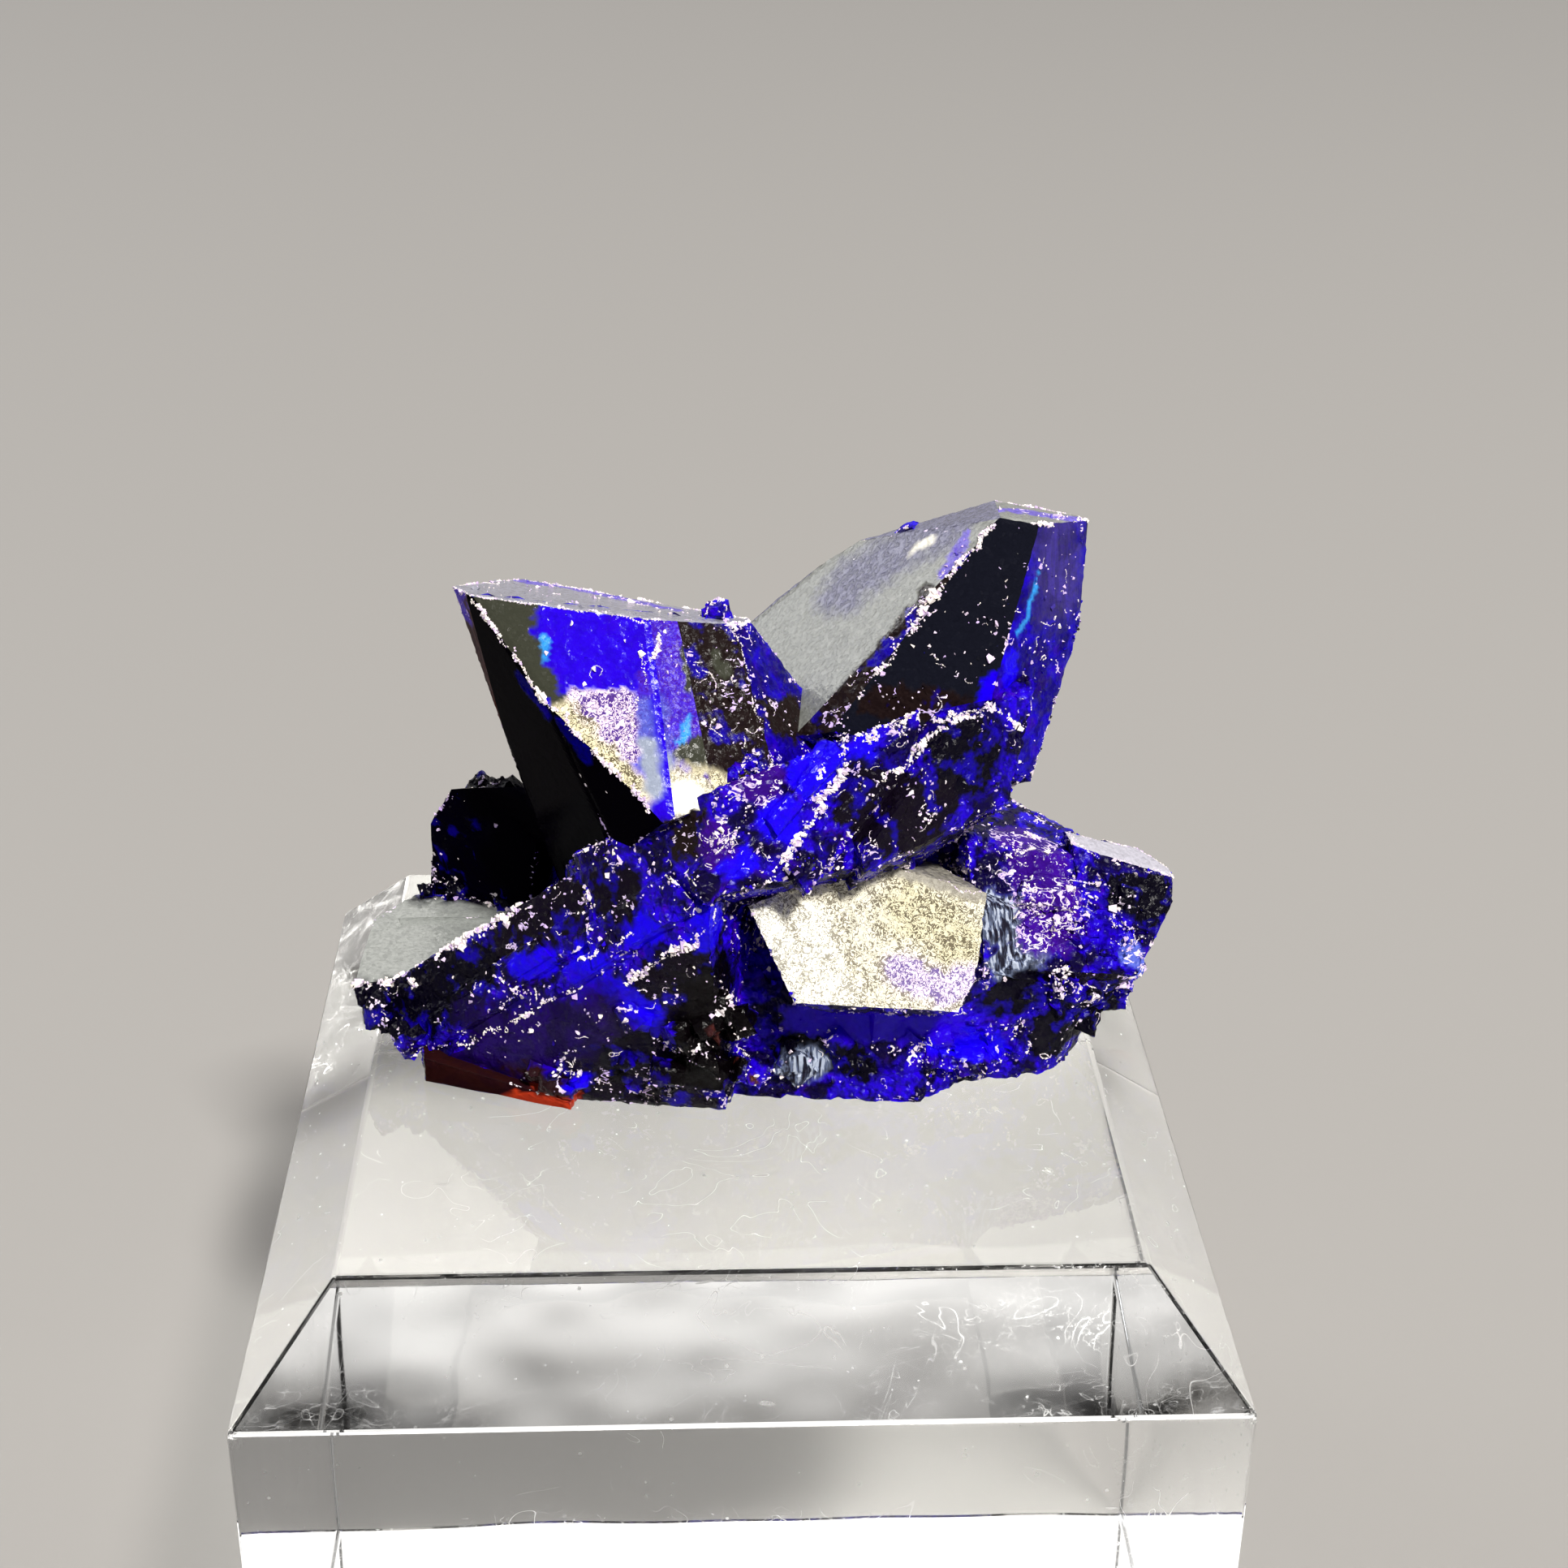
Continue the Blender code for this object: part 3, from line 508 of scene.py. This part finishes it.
paint(mesh, "body", look[:, 0:4])
paint(mesh, "grain", look[:, 4:8])
edge_highlight_layer = mesh.attributes.new("edge_highlight", "FLOAT", "CORNER")
edge_highlight_layer.data.foreach_set("value", edge_highlight[corner_vertex].astype(np.float32))

mesh.polygons.foreach_set("use_smooth", [False] * len(mesh.polygons))
mesh.attributes.remove(mesh.attributes["facet"])
cluster = bpy.data.objects.new("azurite_crystals", mesh)
bpy.context.collection.objects.link(cluster)


# ---------------------------------------------------------------------------
# Azurite cluster: its material.
# Deep blue mineral: glassy where it is flat, etched and sparkling elsewhere, with painted glints,
# highlights, reflections and shade in its colours.
# ---------------------------------------------------------------------------

class Nodes:
    """Adds nodes to a tree and joins them, each given with its inputs."""

    def __init__(self, tree):
        self.tree = tree

    def add(self, kind, inputs=(), **settings):
        item = self.tree.nodes.new(kind)
        for name, value in settings.items():
            setattr(item, name, value)
        for key, value in dict(inputs).items():
            if isinstance(value, bpy.types.NodeSocket):
                self.tree.links.new(value, item.inputs[key])
            else:
                item.inputs[key].default_value = value
        return item

    def math(self, operation, *values):
        return self.add("ShaderNodeMath", enumerate(values), operation=operation).outputs[0]

    def ramp(self, value, low, high, out_low=0.0, out_high=1.0):
        """The value, from low..high to out_low..out_high, eased and clamped."""
        return self.add("ShaderNodeMapRange", {
            "Value": value, "From Min": low, "From Max": high,
            "To Min": out_low, "To Max": out_high}, interpolation_type="SMOOTHSTEP").outputs[0]

    def noise(self, vector, scale, detail=2.0, distortion=0.0):
        return self.add("ShaderNodeTexNoise", {
            "Vector": vector, "Scale": scale, "Detail": detail,
            "Distortion": distortion}).outputs[0]

    def mix(self, factor, first, second):
        item = self.add("ShaderNodeMix", {0: factor, 6: first, 7: second}, data_type="RGBA")
        return item.outputs[2]

    def millimetres(self, offset=0.0):
        place = self.add("ShaderNodeTexCoord").outputs["Object"]
        return self.add("ShaderNodeVectorMath", {0: place, 1: (1 / MM,) * 3, 2: (offset,) * 3},
                        operation="MULTIPLY_ADD").outputs[0]


def new_group(name, inputs, outputs):
    group = bpy.data.node_groups.new(name, "ShaderNodeTree")
    for socket in inputs:
        group.interface.new_socket(socket, in_out="INPUT", socket_type="NodeSocketFloat")
    for socket in outputs:
        group.interface.new_socket(socket, in_out="OUTPUT", socket_type="NodeSocketFloat")
    nodes = Nodes(group)
    return group, nodes, nodes.add("NodeGroupInput").outputs, nodes.add("NodeGroupOutput").inputs


# Painted glints: short crooked bright strokes, and a tint that drifts between two hues.
strokes, nodes, given, result = new_group("painted glint strokes", ["Density"], ["Mask", "Tint"])
place = nodes.add("ShaderNodeMapping", {
    "Vector": nodes.millimetres(), "Rotation": (0.0, math.radians(42), 0.0),
    "Scale": (0.62, 1.1, 1.25)}).outputs[0]
crowding = nodes.noise(place, 0.45, 2.0)
density = nodes.math("MULTIPLY", given["Density"], nodes.ramp(crowding, 0.32, 0.62, 0.25, 1.25))
line = nodes.math("ABSOLUTE", nodes.math("SUBTRACT", nodes.noise(place, 2.1, 1.5, 0.8), 0.5))
line = nodes.ramp(line, 0.022, 0.062, 1.0, 0.0)
broken = nodes.noise(nodes.millimetres(31.0), 1.5, 2.0)
broken = nodes.math("GREATER_THAN", broken, nodes.ramp(density, 0.0, 1.0, 0.78, 0.46))
nodes.tree.links.new(nodes.math("MULTIPLY", line, broken), result["Mask"])
nodes.tree.links.new(nodes.ramp(crowding, 0.35, 0.65), result["Tint"])

# Tiny flat cells, each with a tilt of its own, that flash one by one.
facet_cells, nodes, given, result = new_group("tilted cells", ["Scale"], ["Height"])
place = nodes.millimetres()
cells = nodes.add("ShaderNodeTexVoronoi", {"Vector": place, "Scale": given["Scale"]})
lean = nodes.add("ShaderNodeVectorMath", {0: cells.outputs["Color"], 1: (0.5, 0.5, 0.5)},
                 operation="SUBTRACT").outputs[0]
inside = nodes.add("ShaderNodeVectorMath", {0: place, 1: cells.outputs["Position"]},
                   operation="SUBTRACT").outputs[0]
slope = nodes.add("ShaderNodeVectorMath", {0: lean, 1: inside}, operation="DOT_PRODUCT").outputs[1]
nodes.tree.links.new(slope, result["Height"])

azurite = bpy.data.materials.new("azurite")
azurite.use_nodes = True
azurite.node_tree.nodes.clear()
nodes = Nodes(azurite.node_tree)
place = nodes.millimetres()
body = nodes.add("ShaderNodeAttribute", attribute_name="body")
grain = nodes.add("ShaderNodeAttribute", attribute_name="grain")
marks = nodes.add("ShaderNodeSeparateColor", {0: grain.outputs["Color"]})
glint_stroke_density, roughness, etching = marks.outputs
grooves = grain.outputs["Alpha"]
edge_highlight = nodes.add("ShaderNodeAttribute", attribute_name="edge_highlight").outputs["Fac"]

# Colour: the body, its violet drift, painted shade on the pebbles, dark and blue mottling, grooves
# with painted shade in their furrows and a painted highlight on their crests, etched lines.
base = body.outputs["Color"]
mottling = body.outputs["Alpha"]
split = nodes.add("ShaderNodeSeparateColor", {0: base}).outputs
excess = nodes.math("SUBTRACT", split[2], split[1])
blueness = nodes.ramp(excess, 0.25, 0.50)
restless = nodes.math("MULTIPLY", blueness, nodes.ramp(mottling, 0.0, 0.8, 0.25, 1.0))
drift = nodes.ramp(nodes.noise(place, 0.9, 2.0), 0.50, 0.72, 0.0, 0.7)
drift = nodes.math("MULTIPLY", drift, restless)
colour = nodes.mix(drift, base, (0.040, 0.0, 0.30, 1))
pebble = nodes.noise(place, 1.9, 2.0)
shade = nodes.math("MULTIPLY", nodes.ramp(pebble, 0.36, 0.54, 0.7, 0.0), restless)
colour = nodes.mix(shade, colour, (0.002, 0.0, 0.09, 1))
mottle = nodes.ramp(nodes.noise(place, 0.50, 3.0, 0.5), 0.43, 0.56)
colour = nodes.mix(nodes.math("MULTIPLY", mottle, mottling), colour, (0.002, 0.0004, 0.010, 1))
dim = nodes.math("SUBTRACT", 1.0, nodes.ramp(split[1], 0.008, 0.02))
dim = nodes.math("MULTIPLY", dim, nodes.ramp(roughness, 0.24, 0.26, 0.0, 0.8))
undertone = nodes.noise(nodes.millimetres(17.0), 0.7, 3.0)
dim = nodes.math("MULTIPLY", dim, nodes.ramp(undertone, 0.54, 0.66))
colour = nodes.mix(nodes.math("MULTIPLY", dim, nodes.math("SUBTRACT", 1.0, blueness)),
                   colour, (0.006, 0.0, 0.34, 1))
long_way = nodes.add("ShaderNodeMapping", {
    "Vector": place, "Rotation": (0.0, math.radians(-14), 0.0),
    "Scale": (4.2, 4.2, 0.32)}).outputs[0]
groove = nodes.ramp(nodes.noise(long_way, 1.0, 2.0, 0.3), 0.38, 0.58)
# Painted shade in the furrows of the grooves; below, a painted highlight on their crests.
colour = nodes.mix(nodes.math("MULTIPLY", nodes.math("SUBTRACT", 1.0, groove), grooves),
                   colour, (0.010, 0.009, 0.020, 1))
crest_highlight = nodes.math("MULTIPLY", nodes.ramp(groove, 0.90, 1.0), nodes.ramp(grooves, 0.6, 0.9))
colour = nodes.mix(nodes.math("MULTIPLY", crest_highlight, 0.55), colour, (0.62, 0.68, 0.80, 1))
etched_line = nodes.mix(nodes.ramp(excess, 0.0, 0.10),
                        (0.095, 0.075, 0.045, 1), (0.045, 0.0, 0.22, 1))
worm = nodes.math("ABSOLUTE", nodes.math("SUBTRACT", nodes.noise(place, 3.8, 1.5, 1.4), 0.5))
worm_width = nodes.ramp(nodes.noise(place, 1.1, 2.0), 0.35, 0.65, 0.030, 0.072)
worm = nodes.math("LESS_THAN", worm, worm_width)
worm = nodes.math("MULTIPLY", worm, nodes.ramp(etching, 0.0, 1.3, 0.0, 0.95))
colour = nodes.mix(worm, colour, etched_line)

# Painted glints on top: bright strokes, and a painted highlight on the ragged edges.
group = nodes.add("ShaderNodeGroup", {"Density": glint_stroke_density}, node_tree=strokes)
stroke = group.outputs["Mask"]
ragged = nodes.noise(place, 2.3, 3.0)
ragged = nodes.math("ADD", edge_highlight, nodes.math("MULTIPLY", nodes.math("SUBTRACT", ragged, 0.5), 2.4))
ragged = nodes.ramp(ragged, 0.70, 0.80)
bright = nodes.math("MAXIMUM", stroke, ragged)
sheen = nodes.mix(group.outputs["Tint"], (0.95, 0.88, 0.88, 1), (0.66, 0.50, 0.90, 1))
colour = nodes.mix(bright, colour, sheen)

# Surface: tilted cells where it is rough, fine grain everywhere.
group = nodes.add("ShaderNodeGroup", {"Scale": 4.6}, node_tree=facet_cells)
sparkle = nodes.ramp(roughness, 0.12, 0.42, 0.02, 0.9)
sparkle = nodes.math("MULTIPLY", group.outputs["Height"], sparkle)
grit = nodes.ramp(roughness, 0.10, 0.45, 0.002, 0.05)
grit = nodes.math("MULTIPLY", nodes.noise(place, 9.0, 3.0), grit)
furrow = nodes.math("MULTIPLY", nodes.math("MULTIPLY", groove, grooves), 0.06)
height = nodes.math("ADD", nodes.math("ADD", sparkle, grit), furrow)
bump = nodes.add("ShaderNodeBump", {"Height": height, "Strength": 1.0, "Distance": MM})
shader = nodes.add("ShaderNodeBsdfPrincipled", {
    "Base Color": colour, "Roughness": roughness, "IOR": 1.73, "Normal": bump.outputs[0],
    "Specular IOR Level": 0.06})
shader.name = "Principled BSDF"
nodes.add("ShaderNodeOutputMaterial", {"Surface": shader.outputs[0]})

# The grey mirrors keep their full lustre. The black, smoky, mauve and brown faces get a shaded copy
# that shows little of the floor, so they stay dark as painted shade.
mirror, shaded = azurite.copy(), azurite.copy()
mirror.name, shaded.name = "azurite, mirror facet", "azurite, shaded dark facet"
mirror.node_tree.nodes["Principled BSDF"].inputs["Specular IOR Level"].default_value = 0.5
shaded.node_tree.nodes["Principled BSDF"].inputs["Specular IOR Level"].default_value = 0.001
for lustre in (azurite, mirror, shaded):
    mesh.materials.append(lustre)
MIRROR, SHADED = 1, 2
lustres = {"grey": MIRROR, "lilac": MIRROR, "slate": MIRROR, "dusk": MIRROR,
           "black": SHADED, "smoky": SHADED, "mauve": SHADED, "brown": SHADED}
chosen = [0] + [lustres.get(f[4], 0) for f in facets.values()]
mesh.polygons.foreach_set("material_index", np.array(chosen, np.int32)[face_facet])
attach(cluster, "root")
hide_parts("azurite_cluster")


# ---------------------------------------------------------------------------
# Small growth on the cluster.
# Tiny wedge-ended azurite crystals that crowd the rough faces, and lines of smaller
# ones: splintered crests along the ridges and short crooked strokes between them.
# Most are painted white, lilac, cream or mauve: painted glints.
# ---------------------------------------------------------------------------

GROWTH_COUNT, GROWTH_SIZE, GROWTH_SPREAD, LARGEST = 10500, 0.105, 0.52, 0.42
PALE_SHARE, WHITE, LILAC = 0.66, (0.95, 0.86, 0.80), (0.62, 0.44, 0.86)
STROKE_COUNT, STROKE_STEP, STROKE_SHORTEST, STROKE_LONGEST = 850, 0.055, 4, 30
CREST_SPACING, CREAM, MAUVE = 0.045, (0.97, 0.91, 0.84), (0.70, 0.52, 0.88)
SIDE_LIMIT, GROWTH_LOWEST, GROWTH_MARGIN = 25.1, 26.0, 0.35
rng = np.random.default_rng(5)


def unit(rows):
    return rows / np.linalg.norm(rows, axis=1)[:, None]


# Where the growth stands: on the rough finishes, in crowds, and more along the edges.
triangles = corner_vertex.reshape(-1, 3)
a, b, c = (moved[triangles[:, i]] for i in range(3))
cross = np.cross(b - a, c - a)
area = np.linalg.norm(cross, axis=1) / 2
density = np.clip(look[:, 4].reshape(-1, 3).mean(1) - 0.08, 0, 1)
crowd = np.clip(0.45 + 1.8 * (coarse + 0.5 * medium)[triangles].mean(1), 0.05, 2)
likely = area * density * crowd
edgy = likely * (1 + 2.5 * near_ridge[triangles].mean(1))
face_at = rng.choice(len(triangles), GROWTH_COUNT, p=edgy / edgy.sum())
share = rng.dirichlet((1, 1, 1), GROWTH_COUNT)
spots = (share[:, :, None] * moved[triangles[face_at]]).sum(1)
outward = cross[face_at] / (2 * area[face_at])[:, None]
sizes = GROWTH_SIZE * np.exp(GROWTH_SPREAD * rng.standard_normal(GROWTH_COUNT))
sizes = np.clip(sizes, 0.06, LARGEST)
own_colour = look[:, 0:3].reshape(-1, 3, 3).mean(1)[face_at]
# Two thirds of them are painted white to lilac, as painted glints; the rest keep the colour under
# them.
pale = rng.random(GROWTH_COUNT) < PALE_SHARE
tint = rng.random(GROWTH_COUNT)[:, None]
light_colour = (1 - tint) * WHITE + tint * LILAC
colours = np.where(pale[:, None], light_colour, own_colour)

# Lines of growth, in beads painted cream to mauve as glints: crests along the ridges with gaps, and
# short crooked strokes.
surface = BVHTree.FromPolygons([Vector(p) for p in moved], triangles.tolist())
beads = []
for width, path in crests:
    path = [Vector(p) for p in path]
    for start, end in zip(path, path[1:]):
        for i in range(int((end - start).length / CREST_SPACING)):
            spot = start.lerp(end, (i + rng.random()) * CREST_SPACING / (end - start).length)
            swell = 1.0 + 1.6 * noise.noise(spot * 0.9) + 0.8 * noise.noise(spot * 2.7)
            stray = Vector(rng.normal(0, 0.5 * width, 3)) + 0.45 * noise.noise_vector(spot * 1.3)
            hit, normal, _, _ = surface.find_nearest(spot + stray)
            if swell > 0.55 and (hit - spot).length < 1.2:
                beads.append((hit, normal, width * swell * rng.uniform(0.6, 1.4)))
for face in rng.choice(len(triangles), STROKE_COUNT, p=likely / likely.sum()):
    spot, way = Vector(moved[triangles[face][0]]), Vector(rng.standard_normal(3))
    thick, bend = 0.035 + 0.06 * rng.random() ** 2, rng.normal(0, 0.14)
    for _ in range(int(np.clip(rng.lognormal(2.3, 0.5), STROKE_SHORTEST, STROKE_LONGEST))):
        spot, normal, _, _ = surface.find_nearest(spot)
        way = (way - normal * way.dot(normal)).normalized()
        way = Matrix.Rotation(bend + rng.normal(0, 0.30), 3, normal) @ way
        beads.append((spot, normal, thick * rng.uniform(0.7, 1.5)))
        spot = spot + way * STROKE_STEP
tint = rng.random(len(beads))[:, None] ** 2
spots = np.vstack([spots, np.array([bead[0] for bead in beads])])
outward = np.vstack([outward, np.array([bead[1] for bead in beads])])
sizes = np.concatenate([sizes, np.clip([bead[2] for bead in beads], 0.05, LARGEST)])
colours = np.vstack([colours, (1 - tint) * CREAM + tint * MAUVE])
inside = np.abs(spots[:, 0]) < SIDE_LIMIT
inside &= (spots[:, 2] > GROWTH_LOWEST) & (spots[:, 2] < highest - GROWTH_MARGIN)
spots, outward, sizes, colours = (rows[inside] for rows in (spots, outward, sizes, colours))

# Each is a wedge of its own: an oblong foot and a shorter ridge above it.
total = len(spots)
wedge = np.array([(-0.5, -0.3, -0.4), (0.5, -0.3, -0.4), (0.5, 0.3, -0.4), (-0.5, 0.3, -0.4),
                  (-0.25, 0.0, 0.5), (0.25, 0.0, 0.5)])
sides = np.array([(0, 3, 2), (0, 2, 1), (0, 1, 5), (0, 5, 4),
                  (2, 3, 4), (2, 4, 5), (1, 2, 5), (3, 0, 4)])
upright = unit(0.8 * outward + 0.8 * unit(rng.standard_normal((total, 3))))
sideways = unit(np.cross(upright, rng.standard_normal((total, 3))))
axes = np.stack([sideways, np.cross(upright, sideways), upright], axis=1)
forms = wedge + rng.uniform(-0.13, 0.13, (total, 6, 3))
places = (spots + outward * (0.10 * sizes)[:, None])[:, None]
places = places + sizes[:, None, None] * (forms @ axes)
places = (places.reshape(-1, 3) + (0, 0, LEVEL)) * MM
faces = (np.arange(total)[:, None, None] * len(wedge) + sides).reshape(-1, 3)
mesh = bpy.data.meshes.new("azurite_growth")
mesh.from_pydata(places.tolist(), [], faces.tolist())

# Plain colours, with no mottling, and an even gloss: the colour under them, or painted glints in
# white, lilac, cream and mauve.
unmottled = np.hstack([colours, np.zeros((total, 1))])
paint(mesh, "body", np.repeat(unmottled, sides.size, axis=0))
paint(mesh, "grain", np.tile((0.0, 0.25, 0.0, 0.0), (total * sides.size, 1)))
mesh.materials.append(azurite)
growth = bpy.data.objects.new("azurite_growth", mesh)
bpy.context.collection.objects.link(growth)
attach(growth, "root")


# ---------------------------------------------------------------------------
# Display block.
# Clear cast acrylic, two inches square, polished, with a wide bevel round the top.
# Its edges are eased and its corners scuffed, and fine scratches web its faces.
# ---------------------------------------------------------------------------

BLOCK_SIDE, BEVEL_IN, BEVEL_DROP, EASE = 50.8, 5.0, 5.7, 0.20
block_height = LEVEL + 25.4
bm = bmesh.new()
bmesh.ops.create_cube(bm, size=1)
bmesh.ops.scale(bm, verts=bm.verts, vec=(BLOCK_SIDE, BLOCK_SIDE, block_height - BEVEL_DROP))
bmesh.ops.translate(bm, verts=bm.verts, vec=(0, 0, (block_height - BEVEL_DROP) / 2))
top = [face for face in bm.faces if face.normal.z > 0.9]
raised = bmesh.ops.extrude_face_region(bm, geom=top)["geom"]
raised = [item for item in raised if isinstance(item, bmesh.types.BMVert)]
inner = (BLOCK_SIDE - 2 * BEVEL_IN) / BLOCK_SIDE
bmesh.ops.translate(bm, verts=raised, vec=(0, 0, BEVEL_DROP))
bmesh.ops.scale(bm, verts=raised, vec=(inner, inner, 1))
bmesh.ops.delete(bm, geom=[face for face in top if face.is_valid], context="FACES_ONLY")
bmesh.ops.bevel(bm, geom=bm.edges[:], offset=EASE, segments=3, profile=0.5, material=-1,
                affect="EDGES")
bmesh.ops.scale(bm, verts=bm.verts, vec=(MM, MM, MM))
bmesh.ops.recalc_face_normals(bm, faces=bm.faces)
mesh = bpy.data.meshes.new("clear_block")
bm.to_mesh(mesh)
bm.free()
block = bpy.data.objects.new("clear_block", mesh)
bpy.context.collection.objects.link(block)

# Long fine scratches in three directions, cobweb lines, and dust.
scratches, nodes, given, result = new_group("fine scratches", ["Amount"], ["Mask"])
place = nodes.millimetres()
lines = []
for turn, tilt, width in ((20, 10, 0.0035), (-35, 25, 0.003), (75, -15, 0.0025)):
    along = nodes.add("ShaderNodeMapping", {
        "Vector": place, "Rotation": (math.radians(tilt), 0.0, math.radians(turn)),
        "Scale": (45.0, 2.0, 2.0)}, vector_type="TEXTURE").outputs[0]
    line = nodes.math("ABSOLUTE", nodes.math("SUBTRACT", nodes.noise(along, 1.0, 3.0, 0.4), 0.5))
    lines.append(nodes.ramp(line, 0.0, width, 0.8, 0.0))
web = nodes.math("ABSOLUTE", nodes.math("SUBTRACT", nodes.noise(place, 0.16, 2.0, 1.6), 0.5))
lines.append(nodes.ramp(web, 0.0, 0.004, 1.0, 0.0))
mask = lines[0]
for line in lines[1:]:
    mask = nodes.math("MAXIMUM", mask, line)
patchy = nodes.ramp(nodes.noise(nodes.millimetres(9.0), 0.12, 3.0), 0.42, 0.62)
mask = nodes.math("MULTIPLY", mask, patchy)
dust = nodes.add("ShaderNodeTexVoronoi", {"Vector": place, "Scale": 1.1})
dust_size = nodes.ramp(nodes.add("ShaderNodeSeparateColor", {0: dust.outputs["Color"]}).outputs[0],
                       0.6, 1.0, 0.0, 0.11)
mask = nodes.math("MAXIMUM", mask, nodes.math("LESS_THAN", dust.outputs["Distance"], dust_size))
nodes.tree.links.new(nodes.math("MULTIPLY", mask, given["Amount"]), result["Mask"])

acrylic = bpy.data.materials.new("clear acrylic")
acrylic.use_nodes = True
acrylic.node_tree.nodes.clear()
nodes = Nodes(acrylic.node_tree)
marks = nodes.add("ShaderNodeGroup", {"Amount": 1.0}, node_tree=scratches).outputs["Mask"]
place = nodes.millimetres()
corner = nodes.add("ShaderNodeVectorMath", {0: place}, operation="ABSOLUTE").outputs[0]
corner_place = (BLOCK_SIDE / 2, BLOCK_SIDE / 2, block_height - BEVEL_DROP)
corner = nodes.add("ShaderNodeVectorMath", {0: corner, 1: corner_place},
                   operation="DISTANCE").outputs[1]
ragged = nodes.math("MULTIPLY", nodes.noise(place, 1.6, 4.0), 2.2)
scuff = nodes.ramp(nodes.math("ADD", corner, ragged), 1.1, 1.9, 1.0, 0.0)
haze = nodes.ramp(nodes.noise(place, 0.08, 3.0), 0.35, 0.75, 0.015, 0.05)
worn = nodes.math("MAXIMUM", marks, scuff)
rough = nodes.math("ADD", haze, nodes.math("MULTIPLY", worn, 0.28))
height = nodes.math("MULTIPLY", nodes.math("MULTIPLY", scuff, nodes.noise(place, 6.0, 2.0)), 0.06)
height = nodes.math("ADD", height, nodes.math("MULTIPLY", nodes.noise(place, 0.10, 1.0), 0.06))
bump = nodes.add("ShaderNodeBump", {"Height": height, "Strength": 1.0, "Distance": MM})
shader = nodes.add("ShaderNodeBsdfPrincipled", {
    "Base Color": (0.97, 0.98, 0.98, 1), "Roughness": rough, "IOR": 1.49,
    "Transmission Weight": 1.0, "Normal": bump.outputs[0]})
passing = nodes.add("ShaderNodeBsdfTransparent", {"Color": (0.80, 0.81, 0.81, 1)})
lamp_ray = nodes.add("ShaderNodeLightPath").outputs["Is Shadow Ray"]
surface = nodes.add("ShaderNodeMixShader", {
    0: lamp_ray, 1: shader.outputs[0], 2: passing.outputs[0]})
nodes.add("ShaderNodeOutputMaterial", {"Surface": surface.outputs[0]})
mesh.materials.append(acrylic)
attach(block, "root")
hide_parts("acrylic_display_block")


# ---------------------------------------------------------------------------
# Floor, lights and camera.
# ---------------------------------------------------------------------------

bm = bmesh.new()
bmesh.ops.create_grid(bm, x_segments=1, y_segments=1, size=3.0)
mesh = bpy.data.meshes.new("floor")
bm.to_mesh(mesh)
bm.free()
floor = bpy.data.objects.new("floor", mesh)
floor.location.z = -0.1 * MM
bpy.context.collection.objects.link(floor)
floor_finish = bpy.data.materials.new("pale floor")
floor_finish.use_nodes = True
shader = floor_finish.node_tree.nodes["Principled BSDF"]
shader.inputs["Base Color"].default_value = (0.290, 0.280, 0.270, 1)
shader.inputs["Roughness"].default_value = 0.7
mesh.materials.append(floor_finish)

# A pale wall of light stands behind the specimen, brighter high up; the viewer's side is dim.
world = bpy.data.worlds.new("studio")
bpy.context.scene.world = world
world.use_nodes = True
world.node_tree.nodes.clear()
nodes = Nodes(world.node_tree)
way = nodes.add("ShaderNodeTexCoord").outputs["Generated"]
_, depth, height = nodes.add("ShaderNodeSeparateXYZ", {0: way}).outputs
wall = nodes.ramp(depth, -0.1, 0.9, 0.28, 0.50)
upper = nodes.ramp(height, 0.40, 0.65, 0.0, 1.25)
upper = nodes.math("MULTIPLY", upper, nodes.ramp(depth, 0.1, 0.5))
glow = nodes.add("ShaderNodeBackground", {
    "Color": (1.0, 0.975, 0.945, 1), "Strength": nodes.math("ADD", wall, upper)})
nodes.add("ShaderNodeOutputWorld", {"Surface": glow.outputs[0]})


def soft_light(name, azimuth, elevation, distance, size, power, colour=(1, 1, 1)):
    """A square light that hangs in that direction and points at the specimen."""
    aim = Vector((0, 0, (LEVEL + 40) * MM))
    where = aim + Vector(facing(azimuth, elevation)) * distance
    light = bpy.data.lights.new(name, "AREA")
    light.size, light.energy, light.color = size, power, colour
    lamp = bpy.data.objects.new(name, light)
    bpy.context.collection.objects.link(lamp)
    lamp.location = where
    lamp.rotation_euler = (aim - where).to_track_quat("-Z", "Y").to_euler()
    lamp.visible_camera = False
    return lamp


soft_light("key", 25, 50, 1.6, 0.16, 38, (1.0, 0.97, 0.92))
soft_light("left_panel", -122, 26, 1.2, 0.7, 3.2, (0.95, 0.97, 1.0))

CAMERA_X, CAMERA_Y, CAMERA_Z, PITCH, YAW, ROLL = -3.10, -120.75, 104.30, 27.2, 2.71, 0.785
camera_data = bpy.data.cameras.new("camera")
camera_data.lens = 57.63
camera_data.sensor_width = 36.0
camera_data.clip_start = 0.001
camera = bpy.data.objects.new("camera", camera_data)
bpy.context.collection.objects.link(camera)
pitch, yaw, roll = (math.radians(a) for a in (PITCH, YAW, ROLL))
ahead = Vector((math.sin(yaw) * math.cos(pitch), math.cos(yaw) * math.cos(pitch), -math.sin(pitch)))
level = Vector((math.cos(yaw), -math.sin(yaw), 0))
up = level.cross(ahead)
right = math.cos(roll) * level + math.sin(roll) * up
up = -math.sin(roll) * level + math.cos(roll) * up
camera.matrix_world = Matrix((
    (right.x, up.x, -ahead.x, CAMERA_X * MM),
    (right.y, up.y, -ahead.y, CAMERA_Y * MM),
    (right.z, up.z, -ahead.z, (LEVEL + CAMERA_Z) * MM),
    (0, 0, 0, 1)))
bpy.context.scene.camera = camera
bpy.context.scene.view_settings.view_transform = "Standard"
